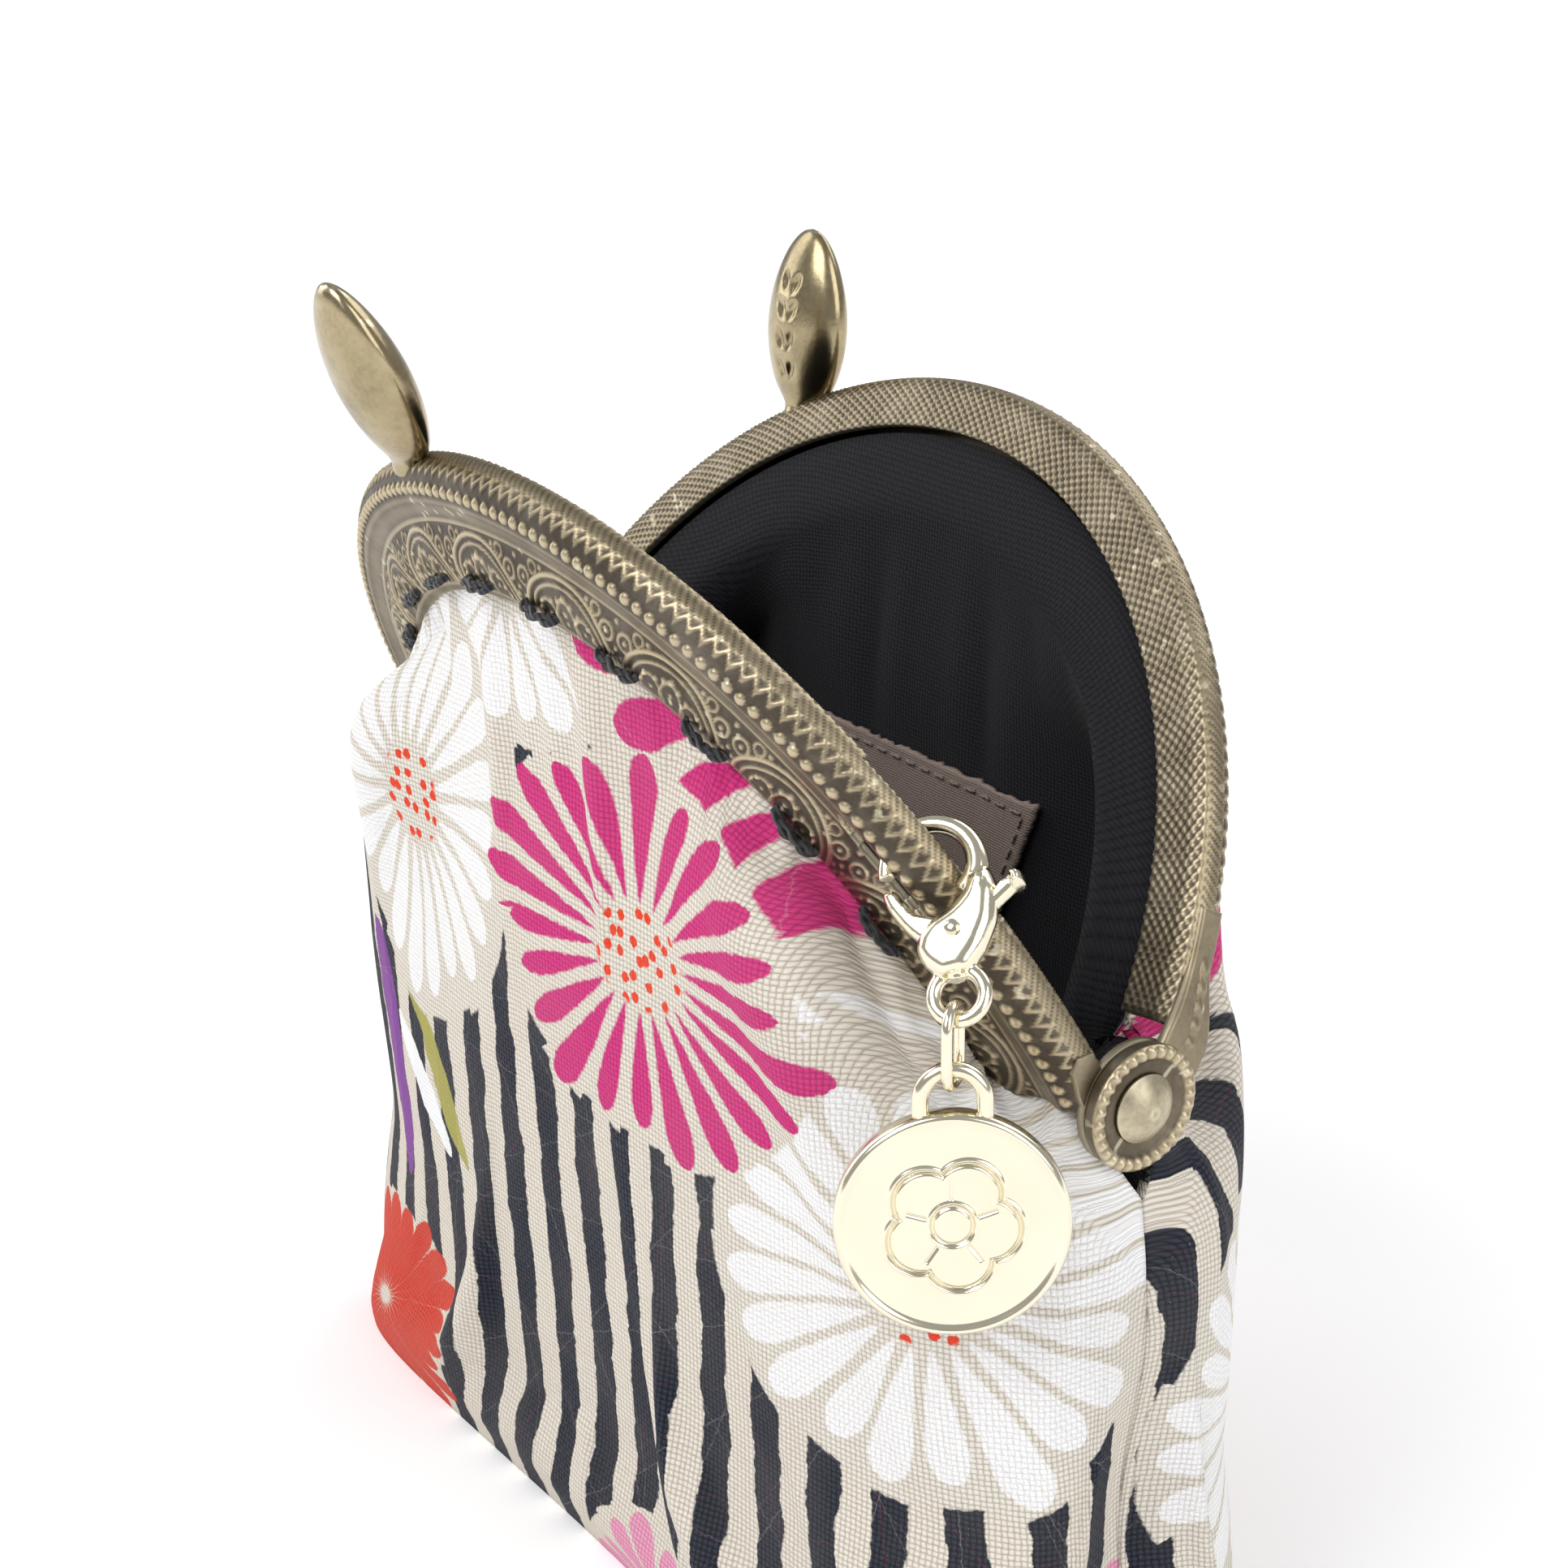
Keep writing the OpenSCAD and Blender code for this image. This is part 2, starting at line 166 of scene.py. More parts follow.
def add_mesh(name, points, faces, material, relief=None, cloth=None):
    """A smooth-shaded object; faces are an array of quads or a list of mixed faces."""
    points = np.asarray(points, float).reshape(-1, 3) * MM
    mesh = bpy.data.meshes.new(name)
    if isinstance(faces, np.ndarray):
        corners = faces.shape[1]
        mesh.vertices.add(len(points))
        mesh.vertices.foreach_set("co", points.astype(np.float32).ravel())
        mesh.loops.add(faces.size)
        mesh.loops.foreach_set("vertex_index", faces.astype(np.int32).ravel())
        mesh.polygons.add(len(faces))
        starts = (np.arange(len(faces)) * corners).astype(np.int32)
        mesh.polygons.foreach_set("loop_start", starts)
        mesh.polygons.foreach_set("loop_total", np.full(len(faces), corners, np.int32))
        mesh.update(calc_edges=True)
    else:
        mesh.from_pydata([tuple(point) for point in points], [], [tuple(face) for face in faces])
    mesh.validate()
    if relief is not None:
        add_relief(mesh, relief)
    if cloth is not None:
        attribute = mesh.attributes.new("cloth", "FLOAT_VECTOR", "POINT")
        flat = np.zeros((len(points), 3), np.float32)
        flat[:, :2] = cloth
        attribute.data.foreach_set("vector", flat.ravel())
    piece = bpy.data.objects.new(name, mesh)
    bpy.context.collection.objects.link(piece)
    mesh.materials.append(material)
    shade_smooth(mesh)
    return piece


def clean(piece):
    """Drops points no face uses and turns the faces outwards."""
    mesh = bmesh.new()
    mesh.from_mesh(piece.data)
    loose = [vert for vert in mesh.verts if not vert.link_faces]
    bmesh.ops.delete(mesh, geom=loose, context="VERTS")
    bmesh.ops.recalc_face_normals(mesh, faces=mesh.faces)
    mesh.to_mesh(piece.data)
    mesh.free()
    piece.data.update()


def apply_modifiers(piece):
    bpy.context.view_layer.update()
    evaluated = piece.evaluated_get(bpy.context.evaluated_depsgraph_get())
    mesh = bpy.data.meshes.new_from_object(evaluated)
    piece.modifiers.clear()
    piece.data = mesh
    shade_smooth(mesh)
    return mesh


def register(piece, body, slot, *nodes):
    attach(piece, body)
    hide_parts(*nodes)


def finish_piece(piece, body, slot, *nodes):
    clean(piece)
    register(piece, body, slot, *nodes)


def join(pieces):
    bpy.ops.object.select_all(action="DESELECT")
    for piece in pieces:
        piece.select_set(True)
    bpy.context.view_layer.objects.active = pieces[0]
    bpy.ops.object.join()
    return pieces[0]


def grid_solid(outside, inside, mask=None):
    """Closed solid between two grids of points; mask keeps some of the cells."""
    rows, columns = outside.shape[:2]
    count = rows * columns
    index = np.arange(count).reshape(rows, columns)
    if mask is None:
        mask = np.ones((rows - 1, columns - 1), bool)
    i, j = np.nonzero(mask)
    skin = np.stack([index[i, j], index[i + 1, j], index[i + 1, j + 1], index[i, j + 1]], 1)
    faces = [skin, skin[:, ::-1] + count]
    padded = np.pad(mask, 1)
    # step to the neighbouring cell, then the corners at the two ends of the shared edge
    for (di, dj), start, end in (((-1, 0), (0, 1), (0, 0)), ((1, 0), (1, 0), (1, 1)),
                                 ((0, -1), (0, 0), (1, 0)), ((0, 1), (1, 1), (0, 1))):
        i, j = np.nonzero(mask & ~padded[1 + di:rows + di, 1 + dj:columns + dj])
        first = index[i + start[0], j + start[1]]
        last = index[i + end[0], j + end[1]]
        faces.append(np.stack([last, first, first + count, last + count], 1))
    points = np.concatenate([outside.reshape(-1, 3), inside.reshape(-1, 3)])
    return points, np.concatenate(faces)


def tube(path, radius, sides, closed=False):
    """Round bar along a path, with one radius or one per point: points and faces."""
    path = np.asarray(path, float)
    count = len(path)
    radius = np.broadcast_to(np.asarray(radius, float), (count,))
    if closed:
        along = np.roll(path, -1, 0) - np.roll(path, 1, 0)
    else:
        along = np.gradient(path, axis=0)
    along /= np.linalg.norm(along, axis=1)[:, None]
    aside = np.array([0.0, 0.0, 1.0] if abs(along[0][2]) < 0.9 else [1.0, 0, 0])
    across = [unit(np.cross(along[0], aside))]
    for k in range(1, count):
        across.append(unit(across[-1] - along[k] * (across[-1] @ along[k])))
    across = np.array(across)
    third = np.cross(along, across)
    if closed:
        # spread the twist left at the joint over the whole loop
        end = unit(across[-1] - along[0] * (across[-1] @ along[0]))
        twist = math.atan2(np.cross(end, across[0]) @ along[0], end @ across[0])
        turn = (np.arange(count) / count * twist)[:, None]
        across, third = (across * np.cos(turn) + third * np.sin(turn),
                         third * np.cos(turn) - across * np.sin(turn))
    angle = (np.arange(sides) / sides * 2 * PI)[None, :, None]
    ring = across[:, None] * np.cos(angle) + third[:, None] * np.sin(angle)
    points = (path[:, None] + radius[:, None, None] * ring).reshape(-1, 3)
    index = np.arange(count * sides).reshape(count, sides)
    faces = []
    for k in range(count if closed else count - 1):
        this, following = index[k], index[(k + 1) % count]
        for s in range(sides):
            s2 = (s + 1) % sides
            faces.append((this[s], this[s2], following[s2], following[s]))
    if not closed:
        points = np.concatenate([points, path[:1], path[-1:]])
        for s in range(sides):
            s2 = (s + 1) % sides
            faces.append((count * sides, index[0, s2], index[0, s]))
            faces.append((count * sides + 1, index[-1, s], index[-1, s2]))
    return points, faces


def merge(parts):
    points, faces, offset = [], [], 0
    for part_points, part_faces in parts:
        points.append(np.asarray(part_points, float).reshape(-1, 3))
        faces += [tuple(int(k) + offset for k in face) for face in part_faces]
        offset += len(points[-1])
    return np.concatenate(points), faces


def lathe(profile, sides):
    """Solid of revolution about Z from (radius, z) points that start and end on the axis."""
    angles = np.arange(sides) / sides * 2 * PI
    points = [[0, 0, profile[0][1]]]
    for radius, z in profile[1:-1]:
        points += [[radius * math.cos(angle), radius * math.sin(angle), z] for angle in angles]
    points.append([0, 0, profile[-1][1]])
    rings = len(profile) - 2
    last = 1 + (rings - 1) * sides
    faces = []
    for s in range(sides):
        s2 = (s + 1) % sides
        faces.append((0, 1 + s2, 1 + s))
        for k in range(rings - 1):
            base = 1 + k * sides
            faces.append((base + s, base + s2, base + sides + s2, base + sides + s))
        faces.append((last + s, last + s2, len(points) - 1))
    return np.array(points, float), faces


# ------------------------------------------------------------------ shader kit
class Value:
    """A socket that takes arithmetic; each operator adds one math or vector math node."""

    def __init__(self, shader, socket):
        self.shader, self.socket = shader, socket

    def combine(self, operation, first, second):
        if self.socket.type == "VALUE":
            return self.shader.math(operation, first, second)
        if operation == "MULTIPLY" and not isinstance(second, tuple):
            return self.shader.node("ShaderNodeVectorMath", {0: first, "Scale": second},
                                    operation="SCALE")
        return self.shader.node("ShaderNodeVectorMath", {0: first, 1: second},
                                operation=operation)

    def __add__(self, other):
        return self.combine("ADD", self, other)

    def __radd__(self, other):
        return self.combine("ADD", other, self)

    def __sub__(self, other):
        return self.combine("SUBTRACT", self, other)

    def __rsub__(self, other):
        return self.combine("SUBTRACT", other, self)

    def __mul__(self, other):
        return self.combine("MULTIPLY", self, other)

    def __truediv__(self, other):
        return self.combine("DIVIDE", self, other)

    def __pow__(self, other):
        return self.combine("POWER", self, other)

    def __abs__(self):
        return self.op("ABSOLUTE")

    def op(self, operation, other=None):
        return self.shader.math(operation, self, other)

    def step(self, start, end, low=0.0, high=1.0):
        """Smooth step from low at start to high at end."""
        inputs = dict(enumerate((self, start, end, low, high)))
        return self.shader.node("ShaderNodeMapRange", inputs, interpolation_type="SMOOTHSTEP")


class Shader:
    """A material under construction; numbers and Values go in, Values come out."""

    def __init__(self, name):
        self.material = bpy.data.materials.new(name)
        self.material.use_nodes = True
        self.tree = self.material.node_tree
        self.bsdf = next(n for n in self.tree.nodes if n.type == "BSDF_PRINCIPLED")

    def put(self, socket, value):
        if isinstance(value, Value):
            self.tree.links.new(value.socket, socket)
        elif value is not None:
            if isinstance(value, tuple) and len(value) == 3 and socket.type == "RGBA":
                value = (*value, 1)
            socket.default_value = value

    def set(self, **inputs):
        for name, value in inputs.items():
            self.put(self.bsdf.inputs[name.replace("_", " ")], value)

    def node(self, kind, inputs, output=0, **settings):
        node = self.tree.nodes.new(kind)
        for name, value in settings.items():
            setattr(node, name, value)
        for key, value in inputs.items():
            self.put(node.inputs[key], value)
        return Value(self, node.outputs[output])

    def math(self, operation, first, second=None):
        return self.node("ShaderNodeMath", {0: first, 1: second}, operation=operation)

    def mix(self, factor, first, second):
        return self.node("ShaderNodeMix", {0: factor, 6: first, 7: second}, output=2,
                         data_type="RGBA")

    def attribute(self, name, output):
        return self.node("ShaderNodeAttribute", {}, output=output, attribute_name=name)

    def position(self):
        return self.node("ShaderNodeTexCoord", {}, output="Object")

    def split(self, vector):
        """The x and y of a vector."""
        node = self.tree.nodes.new("ShaderNodeSeparateXYZ")
        self.put(node.inputs[0], vector)
        return Value(self, node.outputs[0]), Value(self, node.outputs[1])

    def noise(self, vector, scale, detail, rough, color=False):
        inputs = {"Vector": vector, "Scale": scale, "Detail": detail, "Roughness": rough}
        return self.node("ShaderNodeTexNoise", inputs, output=1 if color else 0)

    def sway(self, vector, scale, detail, rough, reach):
        """A wandering offset."""
        wander = self.noise(vector, scale, detail, rough, color=True)
        return (wander - (0.5, 0.5, 0.5)) * reach

    def random(self, seed):
        return self.node("ShaderNodeTexWhiteNoise", {"W": seed}, noise_dimensions="1D")

    def bump(self, height, strength, depth):
        inputs = {"Height": height, "Strength": strength, "Distance": depth}
        return self.node("ShaderNodeBump", inputs)


# ------------------------------------------------------------------ metals and plain cloths
def antique_brass(name, light, dark, rough=0.3, pressed=True):
    """Tarnished brass; pressed pieces are dark in the hollows of their relief attribute."""
    shader = Shader(name)
    place = shader.position()
    broad = shader.noise(place, scale=220.0, detail=4.0, rough=0.6)
    fine = shader.noise(place, scale=2600.0, detail=3.0, rough=0.6)
    if pressed:
        height = shader.attribute("relief", "Fac") + (broad - 0.5) * 0.35 + (fine - 0.5) * 0.25
        shine = height.step(start=0.0, end=1.0)
    else:
        shine = (broad * 0.7 + fine * 0.3).step(start=0.22, end=0.62)
    color = shader.mix(shine, dark, light)
    stain = broad.step(start=0.45, end=0.8) * 0.25
    color = shader.mix(stain, color, (0.45, 0.40, 0.34))
    pointed = shader.node("ShaderNodeNewGeometry", {}, output="Pointiness")
    worn_edge = pointed.step(start=0.52, end=0.62) * 0.5
    color = shader.mix(worn_edge, color, (0.85, 0.78, 0.58))
    # the bright metal is the smoother
    shader.set(Base_Color=color, Metallic=1.0,
               Roughness=fine * 0.18 + (rough + 0.12 - shine * 0.14),
               Normal=shader.bump(fine, strength=0.25, depth=0.00004))
    return shader.material


def gold(name):
    shader = Shader(name)
    place = shader.position()
    broad = shader.noise(place, scale=180.0, detail=3.0, rough=0.5)
    fine = shader.noise(place, scale=1500.0, detail=4.0, rough=0.6)
    shader.set(Base_Color=shader.mix(broad, (0.80, 0.73, 0.55), (0.88, 0.83, 0.68)),
               Metallic=1.0, Roughness=0.10 + fine * 0.10,
               Normal=shader.bump(fine, strength=0.06, depth=0.00003))
    return shader.material


def weave(shader, cloth, pitch):
    """Height, 0 to 1, of a plain weave laid out in cloth millimetres."""
    wobble = shader.sway(cloth * 1.0, scale=0.9, detail=2.0, rough=0.5, reach=0.16)
    x, y = shader.split(cloth + wobble)
    warp, weft = x * (1.0 / pitch), y * (1.0 / pitch)
    warp_round = abs((warp * PI).op("SINE"))
    weft_round = abs((weft * PI).op("SINE"))
    # the large even offset keeps the count positive
    checker = (warp.op("FLOOR") + (weft.op("FLOOR") + 4000.0)).op("MODULO", 2.0)
    # the thread on top is full across its own width and arched along its length
    over = warp_round ** 0.6 * (0.55 + weft_round * 0.45)
    under = weft_round ** 0.6 * (0.55 + warp_round * 0.45)
    return over * checker + under * (1.0 - checker)


def plain_cloth(name, low, high, pitch, rough):
    """Plain weave, coloured low between the threads and high on top of them."""
    shader = Shader(name)
    cloth = shader.attribute("cloth", "Vector")
    height = weave(shader, cloth, pitch)
    mottle = shader.noise(cloth, scale=3.0, detail=3.0, rough=0.6)
    shader.set(Base_Color=shader.mix(height * (0.5 + mottle), low, high), Roughness=rough,
               Normal=shader.bump(height, strength=0.6, depth=0.00012),
               Sheen_Weight=0.06, Sheen_Roughness=0.4, Specular_IOR_Level=0.2)
    return shader.material


def thread(name, low, high):
    shader = Shader(name)
    place = shader.position()
    strands = shader.node("ShaderNodeTexWave",
                          {"Vector": place, "Scale": 900.0, "Distortion": 2.0},
                          output="Fac", bands_direction="DIAGONAL")
    fibre = shader.noise(place, scale=1800.0, detail=3.0, rough=0.6)
    shader.set(Base_Color=shader.mix(strands * fibre, low, high), Roughness=0.55,
               Normal=shader.bump(strands, strength=0.8, depth=0.0001), Sheen_Weight=0.15)
    return shader.material


# ------------------------------------------------------------------ printed canvas
CANVAS_PITCH = 0.43
STRIPE_PITCH = 5.7
STRIPE_START = 2.9
CREAM_LOW, CREAM_HIGH = (0.52, 0.46, 0.38), (0.80, 0.745, 0.66)
NAVY_LOW, NAVY_HIGH = (0.006, 0.008, 0.014), (0.030, 0.036, 0.056)
GAP_LOW, GAP_HIGH = (0.50, 0.45, 0.38), (0.80, 0.75, 0.67)
DOT_RED = (0.78, 0.05, 0.015)
MAGENTA, PINK, RED = (0.66, 0.008, 0.20), (0.86, 0.34, 0.52), (0.70, 0.045, 0.02)
OLIVE, PURPLE, WHITE = (0.40, 0.37, 0.09), (0.22, 0.05, 0.32), (0.93, 0.93, 0.94)

# Centre and radii in cloth mm, turn in radians, petal count, ink (None: white with veins),
# petal fullness, eye and halo as shares of the radius, seed, and whether the eye has dots.
# Later flowers lie over earlier ones.
Flower = namedtuple("Flower", "x y width height turn petals ink fullness eye seed halo dots")
FRONT_FLOWERS = [Flower(*row) for row in (
    (36, 57, 16, 13, 0.2, 19, None, 0.9, 0.2, 5.0, 1.02, False),
    (-3, 80, 14, 13, 0.2, 15, None, 0.9, 0.2, 9.0, 1.02, False),
    (27, 79.5, 22, 18, -0.3, 17, MAGENTA, 0.80, 0.25, 2.0, 1.06, True),
    (-20.7, 58.6, 15.5, 19.5, -0.15, 21, None, 0.90, 0.22, 3.0, 1.0, True),
    (41.0, 41.0, 20.5, 16.5, 0.25, 22, None, 0.90, 0.22, 4.0, 1.0, True),
    (12.3, 56.0, 22.5, 16.0, 0.12, 22, MAGENTA, 0.76, 0.24, 1.0, 0.93, True),
    (-37, 5, 19, 12, 0.3, 26, RED, 0.95, 0.05, 6.0, 0.9, False),
    (13, 0, 13, 9, 0.0, 16, PINK, 0.8, 0.15, 7.0, 1.0, False),
    (66, 6, 15, 17, 0.0, 20, PINK, 0.9, 0.15, 8.0, 1.0, False))]
BACK_FLOWERS = [Flower(*row) for row in (
    (-44, 44, 18, 15, 0.2, 21, None, 0.9, 0.22, 13.0, 1.0, True),
    (20, 60, 21, 17, 0.2, 21, MAGENTA, 0.78, 0.24, 11.0, 0.98, True),
    (-14, 66, 17, 17, 0.1, 19, None, 0.9, 0.22, 12.0, 1.0, True),
    (40, 26, 17, 16, 0.1, 22, None, 0.9, 0.2, 14.0, 1.0, True),
    (-14, 18, 19, 15, 0.3, 22, MAGENTA, 0.78, 0.24, 15.0, 0.98, True),
    (-60, 4, 15, 16, 0.0, 20, PINK, 0.9, 0.15, 16.0, 1.0, False),
    (16, 0, 14, 11, 0.3, 22, RED, 0.9, 0.1, 17.0, 0.95, False))]
# start x, y, end x, y, width (cloth mm), colour
FRONT_LEAVES = [(-33, 50, -22, 35, 3.4, OLIVE), (-25, 40, -17, 27, 3.2, OLIVE),
                (-34, 44, -31, 20, 5.0, PURPLE), (-30, 36, -20, 27, 3.4, WHITE)]
BACK_LEAVES = [(-46, 62, -38, 50, 4.0, OLIVE), (2, 44, 10, 34, 3.4, OLIVE),
               (-32, 40, -26, 28, 3.6, PURPLE)]


def clamp(value):
    return value.op("MAXIMUM", 0.0).op("MINIMUM", 1.0)


def flower_masks(shader, cloth, flower):
    """Masks of the petals, the cleared halo and the eye dots, and the distance from each
    petal's midline."""
    shift_x, shift_y = shader.split(cloth - (flower.x, flower.y, 0.0))
    cosine, sine = math.cos(flower.turn), math.sin(flower.turn)
    x = (shift_x * cosine + shift_y * sine) / flower.width
    y = (shift_y * cosine - shift_x * sine) / flower.height
    radius = (x * x + y * y).op("SQRT")
    sector = y.op("ARCTAN2", x) * (flower.petals / (2 * PI)) + (flower.seed * 1.37 + 50.0)
    petal_number = sector.op("FLOOR")
    # the multipliers and the offset only set the two random draws of a petal apart
    length_draw = shader.random(petal_number + flower.seed * 7.1)
    lean_draw = shader.random(petal_number + (flower.seed * 3.3 + 90.0))
    lateral = abs(sector.op("FRACT") - 0.5 - (lean_draw - 0.5) * 0.10)
    lateral = lateral * (radius * (2 * PI / flower.petals))
    tip = 0.80 + length_draw * 0.22
    # half width grows from the eye and rounds off over the last 0.20 before the tip
    outside_eye = (radius - flower.eye).op("MAXIMUM", 0.0001)
    growth = outside_eye ** 0.75 * (PI / flower.petals * flower.fullness) * 1.12
    blunt = (1.0 - clamp((tip - radius) / 0.20)) ** 2.0
    half_width = growth * (1.0 - blunt).op("MAXIMUM", 0.0).op("SQRT")
    petal = (half_width - lateral).step(start=-0.004, end=0.012)
    petal = petal * radius.step(start=flower.eye, end=flower.eye + 0.03)
    halo = radius + (length_draw - 0.5) * -0.10
    halo = halo.step(start=flower.halo + 0.01, end=flower.halo - 0.01)
    dots = None
    if flower.dots:
        spots = shader.node("ShaderNodeTexVoronoi",
                            {"Vector": cloth, "Scale": 0.62, "Randomness": 0.75},
                            output="Distance", voronoi_dimensions="2D")
        in_eye = radius.step(start=flower.eye * 1.08, end=flower.eye * 0.98)
        dots = spots.step(start=0.30, end=0.24) * in_eye
    return petal, halo, dots, lateral


def leaf_mask(shader, cloth, start_x, start_y, end_x, end_y, width):
    length = math.hypot(end_x - start_x, end_y - start_y)
    x_share, y_share = (end_x - start_x) / length, (end_y - start_y) / length
    x, y = shader.split(cloth - (start_x, start_y, 0.0))
    along = x * x_share + y * y_share
    across = abs(y * x_share - x * y_share)
    arch = (clamp(along / length) * PI).op("SINE").op("MAXIMUM", 0.0)
    return (arch ** 0.5 * (width / 2) - across).step(start=-0.05, end=0.12)


def print_flower(shader, color, flower, masks, thread_top, ground):
    """Lays one flower over the colour so far."""
    petal, halo, dots, lateral = masks
    if flower.ink is None:
        vein = abs((lateral / 0.028 * PI).op("SINE"))
        vein = vein.step(start=0.5, end=0.1) * 0.30
        white = shader.mix(vein, WHITE, (0.66, 0.61, 0.54))
        dulled = shader.mix(0.5, white, (0.62, 0.58, 0.52))
        white = shader.mix(thread_top.step(start=0.0, end=0.8), dulled, white)
        gap = shader.mix(thread_top.step(start=0.2, end=0.95), GAP_LOW, GAP_HIGH)
        color = shader.mix(halo, color, gap)
        color = shader.mix(petal, color, white)
    else:
        shaded = tuple(channel * 0.62 for channel in flower.ink)
        ink = shader.mix(thread_top.step(start=0.15, end=0.95), shaded, flower.ink)
        color = shader.mix(halo * 1.0, color, ground)
        color = shader.mix(petal * 0.97, color, ink)
    return shader.mix(dots, color, DOT_RED) if dots else color


def canvas(name, stripe_shift, flowers, leaves):
    """Cream canvas with uneven navy stripes, leaves and flowers, in cloth millimetres."""
    shader = Shader(name)
    flat = shader.attribute("cloth", "Vector")
    height = weave(shader, flat, CANVAS_PITCH)
    # ink edges follow the threads a little; stripes and leaves wander more broadly too
    cloth = flat + shader.sway(flat, scale=1.6, detail=3.0, rough=0.6, reach=0.55)
    wandering = cloth + shader.sway(flat, scale=0.22, detail=1.0, rough=0.5, reach=1.5)
    mottle = shader.noise(flat, scale=2.2, detail=3.0, rough=0.6)
    thread_top = height * 0.8 + mottle * 0.35
    ground = shader.mix(thread_top.step(start=0.25, end=0.95), CREAM_LOW, CREAM_HIGH)

    x, _ = shader.split(wandering)
    stripe = ((x - (STRIPE_START + stripe_shift)) / STRIPE_PITCH + 0.5).op("FRACT")
    ragged = (shader.noise(wandering, scale=0.35, detail=3.0, rough=0.6) - 0.5) * 0.10
    stripe = (abs(stripe - 0.5) + ragged).step(start=0.268, end=0.240)

    masks = [flower_masks(shader, cloth, flower) for flower in flowers]
    clear = masks[0][1]
    for _, halo, _, _ in masks[1:]:
        clear = clear.op("MAXIMUM", halo)
    navy = shader.mix(thread_top.step(start=0.35, end=1.0), NAVY_LOW, NAVY_HIGH)
    wear = shader.noise(flat, scale=4.0, detail=4.0, rough=0.7).step(start=0.22, end=0.34)
    color = shader.mix(stripe * (1.0 - clear) * wear, ground, navy)
    for *placing, leaf_color in leaves:
        leaf = leaf_mask(shader, wandering, *placing)
        color = shader.mix(leaf * 0.95, color, leaf_color)
    for flower, flower_mask in zip(flowers, masks):
        color = print_flower(shader, color, flower, flower_mask, thread_top, ground)

    grime = shader.noise(flat, scale=0.08, detail=2.0, rough=0.5).step(start=0.3, end=0.7)
    color = shader.mix(grime * 0.07, color, (0.45, 0.40, 0.34))
    # thick places along both thread directions
    slubs = (shader.noise(flat * (0.35, 2.4, 1.0), scale=1.0, detail=3.0, rough=0.65)
             + shader.noise(flat * (2.4, 0.35, 1.0), scale=1.0, detail=3.0, rough=0.65))
    shader.set(Base_Color=color, Roughness=0.86,
               Normal=shader.bump(height + slubs * 0.45, strength=0.75, depth=0.00016),
               Sheen_Weight=0.04, Sheen_Roughness=0.5, Specular_IOR_Level=0.15)
    return shader.material


FRAME_BRASS = antique_brass("antique_brass_relief", light=(0.50, 0.415, 0.27),
                            dark=(0.085, 0.07, 0.055))
KNOB_BRASS = antique_brass("antique_brass_smooth", light=(0.42, 0.345, 0.205),
                           dark=(0.24, 0.195, 0.12), rough=0.12, pressed=False)
GOLD = gold("pale_gold_plate")
CANVAS = {FRONT: canvas("printed_canvas_front", 0.0, FRONT_FLOWERS, FRONT_LEAVES),
          BACK: canvas("printed_canvas_back", 1.3, BACK_FLOWERS, BACK_LEAVES)}
LINING = plain_cloth("black_lining", low=(0.004, 0.004, 0.005), high=(0.020, 0.020, 0.025),
                     pitch=0.34, rough=0.8)
WADDING = plain_cloth("pale_wadding", low=(0.55, 0.54, 0.50), high=(0.75, 0.74, 0.70),
                      pitch=0.6, rough=0.95)
LABEL = plain_cloth("brown_label", low=(0.26, 0.195, 0.165), high=(0.42, 0.325, 0.28),
                    pitch=0.22, rough=0.8)
BLACK_THREAD = thread("waxed_black_thread", low=(0.004, 0.004, 0.005), high=(0.05, 0.05, 0.06))
LABEL_THREAD = thread("brown_label_thread", low=(0.20, 0.155, 0.13), high=(0.38, 0.31, 0.27))


# ------------------------------------------------------------------ frame halves
SHEET = 0.52                           # thickness of the pressed sheet
PATTERN_R = 42.0                       # radius at which the pattern's lengths are measured
PATTERN_LENGTH = 132.0                 # length of the arch at that radius
BEAD_PITCH = PATTERN_LENGTH / round(PATTERN_LENGTH / 1.195)
SCALLOP_PITCH = PATTERN_LENGTH / 10.5
EYE_ANGLE = 31.5                       # degrees round the arch to the charm's slot

# outer face of the sheet: radius, distance out of the half's plane
FRAME_OUTLINE = np.array([
    (38.7, .40), (40.2, .40), (41.7, .42), (42.45, .66), (42.88, 1.15), (43.0, 1.85),
    (42.86, 2.6), (42.4, 3.25), (41.75, 3.68), (40.9, 3.9), (40.3, 3.88), (39.7, 3.74),
    (39.0, 3.68), (38.4, 3.78), (37.8, 4.0), (36.8, 4.42), (35.8, 4.62), (34.8, 4.7),
    (33.8, 4.66), (33.1, 4.45)])
PROFILE_STEPS = 92
SMOOTHED = blur_path(resample(FRAME_OUTLINE, 1200), np.hanning(61))
PROFILE = resample(SMOOTHED, PROFILE_STEPS)
PROFILE_AT = np.linspace(0, arc_length(SMOOTHED)[-1], PROFILE_STEPS)
# distance along the profile from the crest: below 0 on the inner wall, above 0 outside
FROM_CREST = PROFILE_AT - PROFILE_AT[np.argmax(PROFILE[:, 0])]


def profile_normals():
    """Normals of the profile that point out of the sheet."""
    tangent = np.gradient(PROFILE, axis=0)
    tangent /= np.linalg.norm(tangent, axis=1)[:, None]
    normal = np.stack([-tangent[:, 1], tangent[:, 0]], 1)
    middle = PROFILE_STEPS // 2
    outwards = normal[middle] @ (PROFILE[middle] - np.array([38.0, 2.0])) >= 0
    return normal if outwards else -normal


PROFILE_NORMAL = profile_normals()

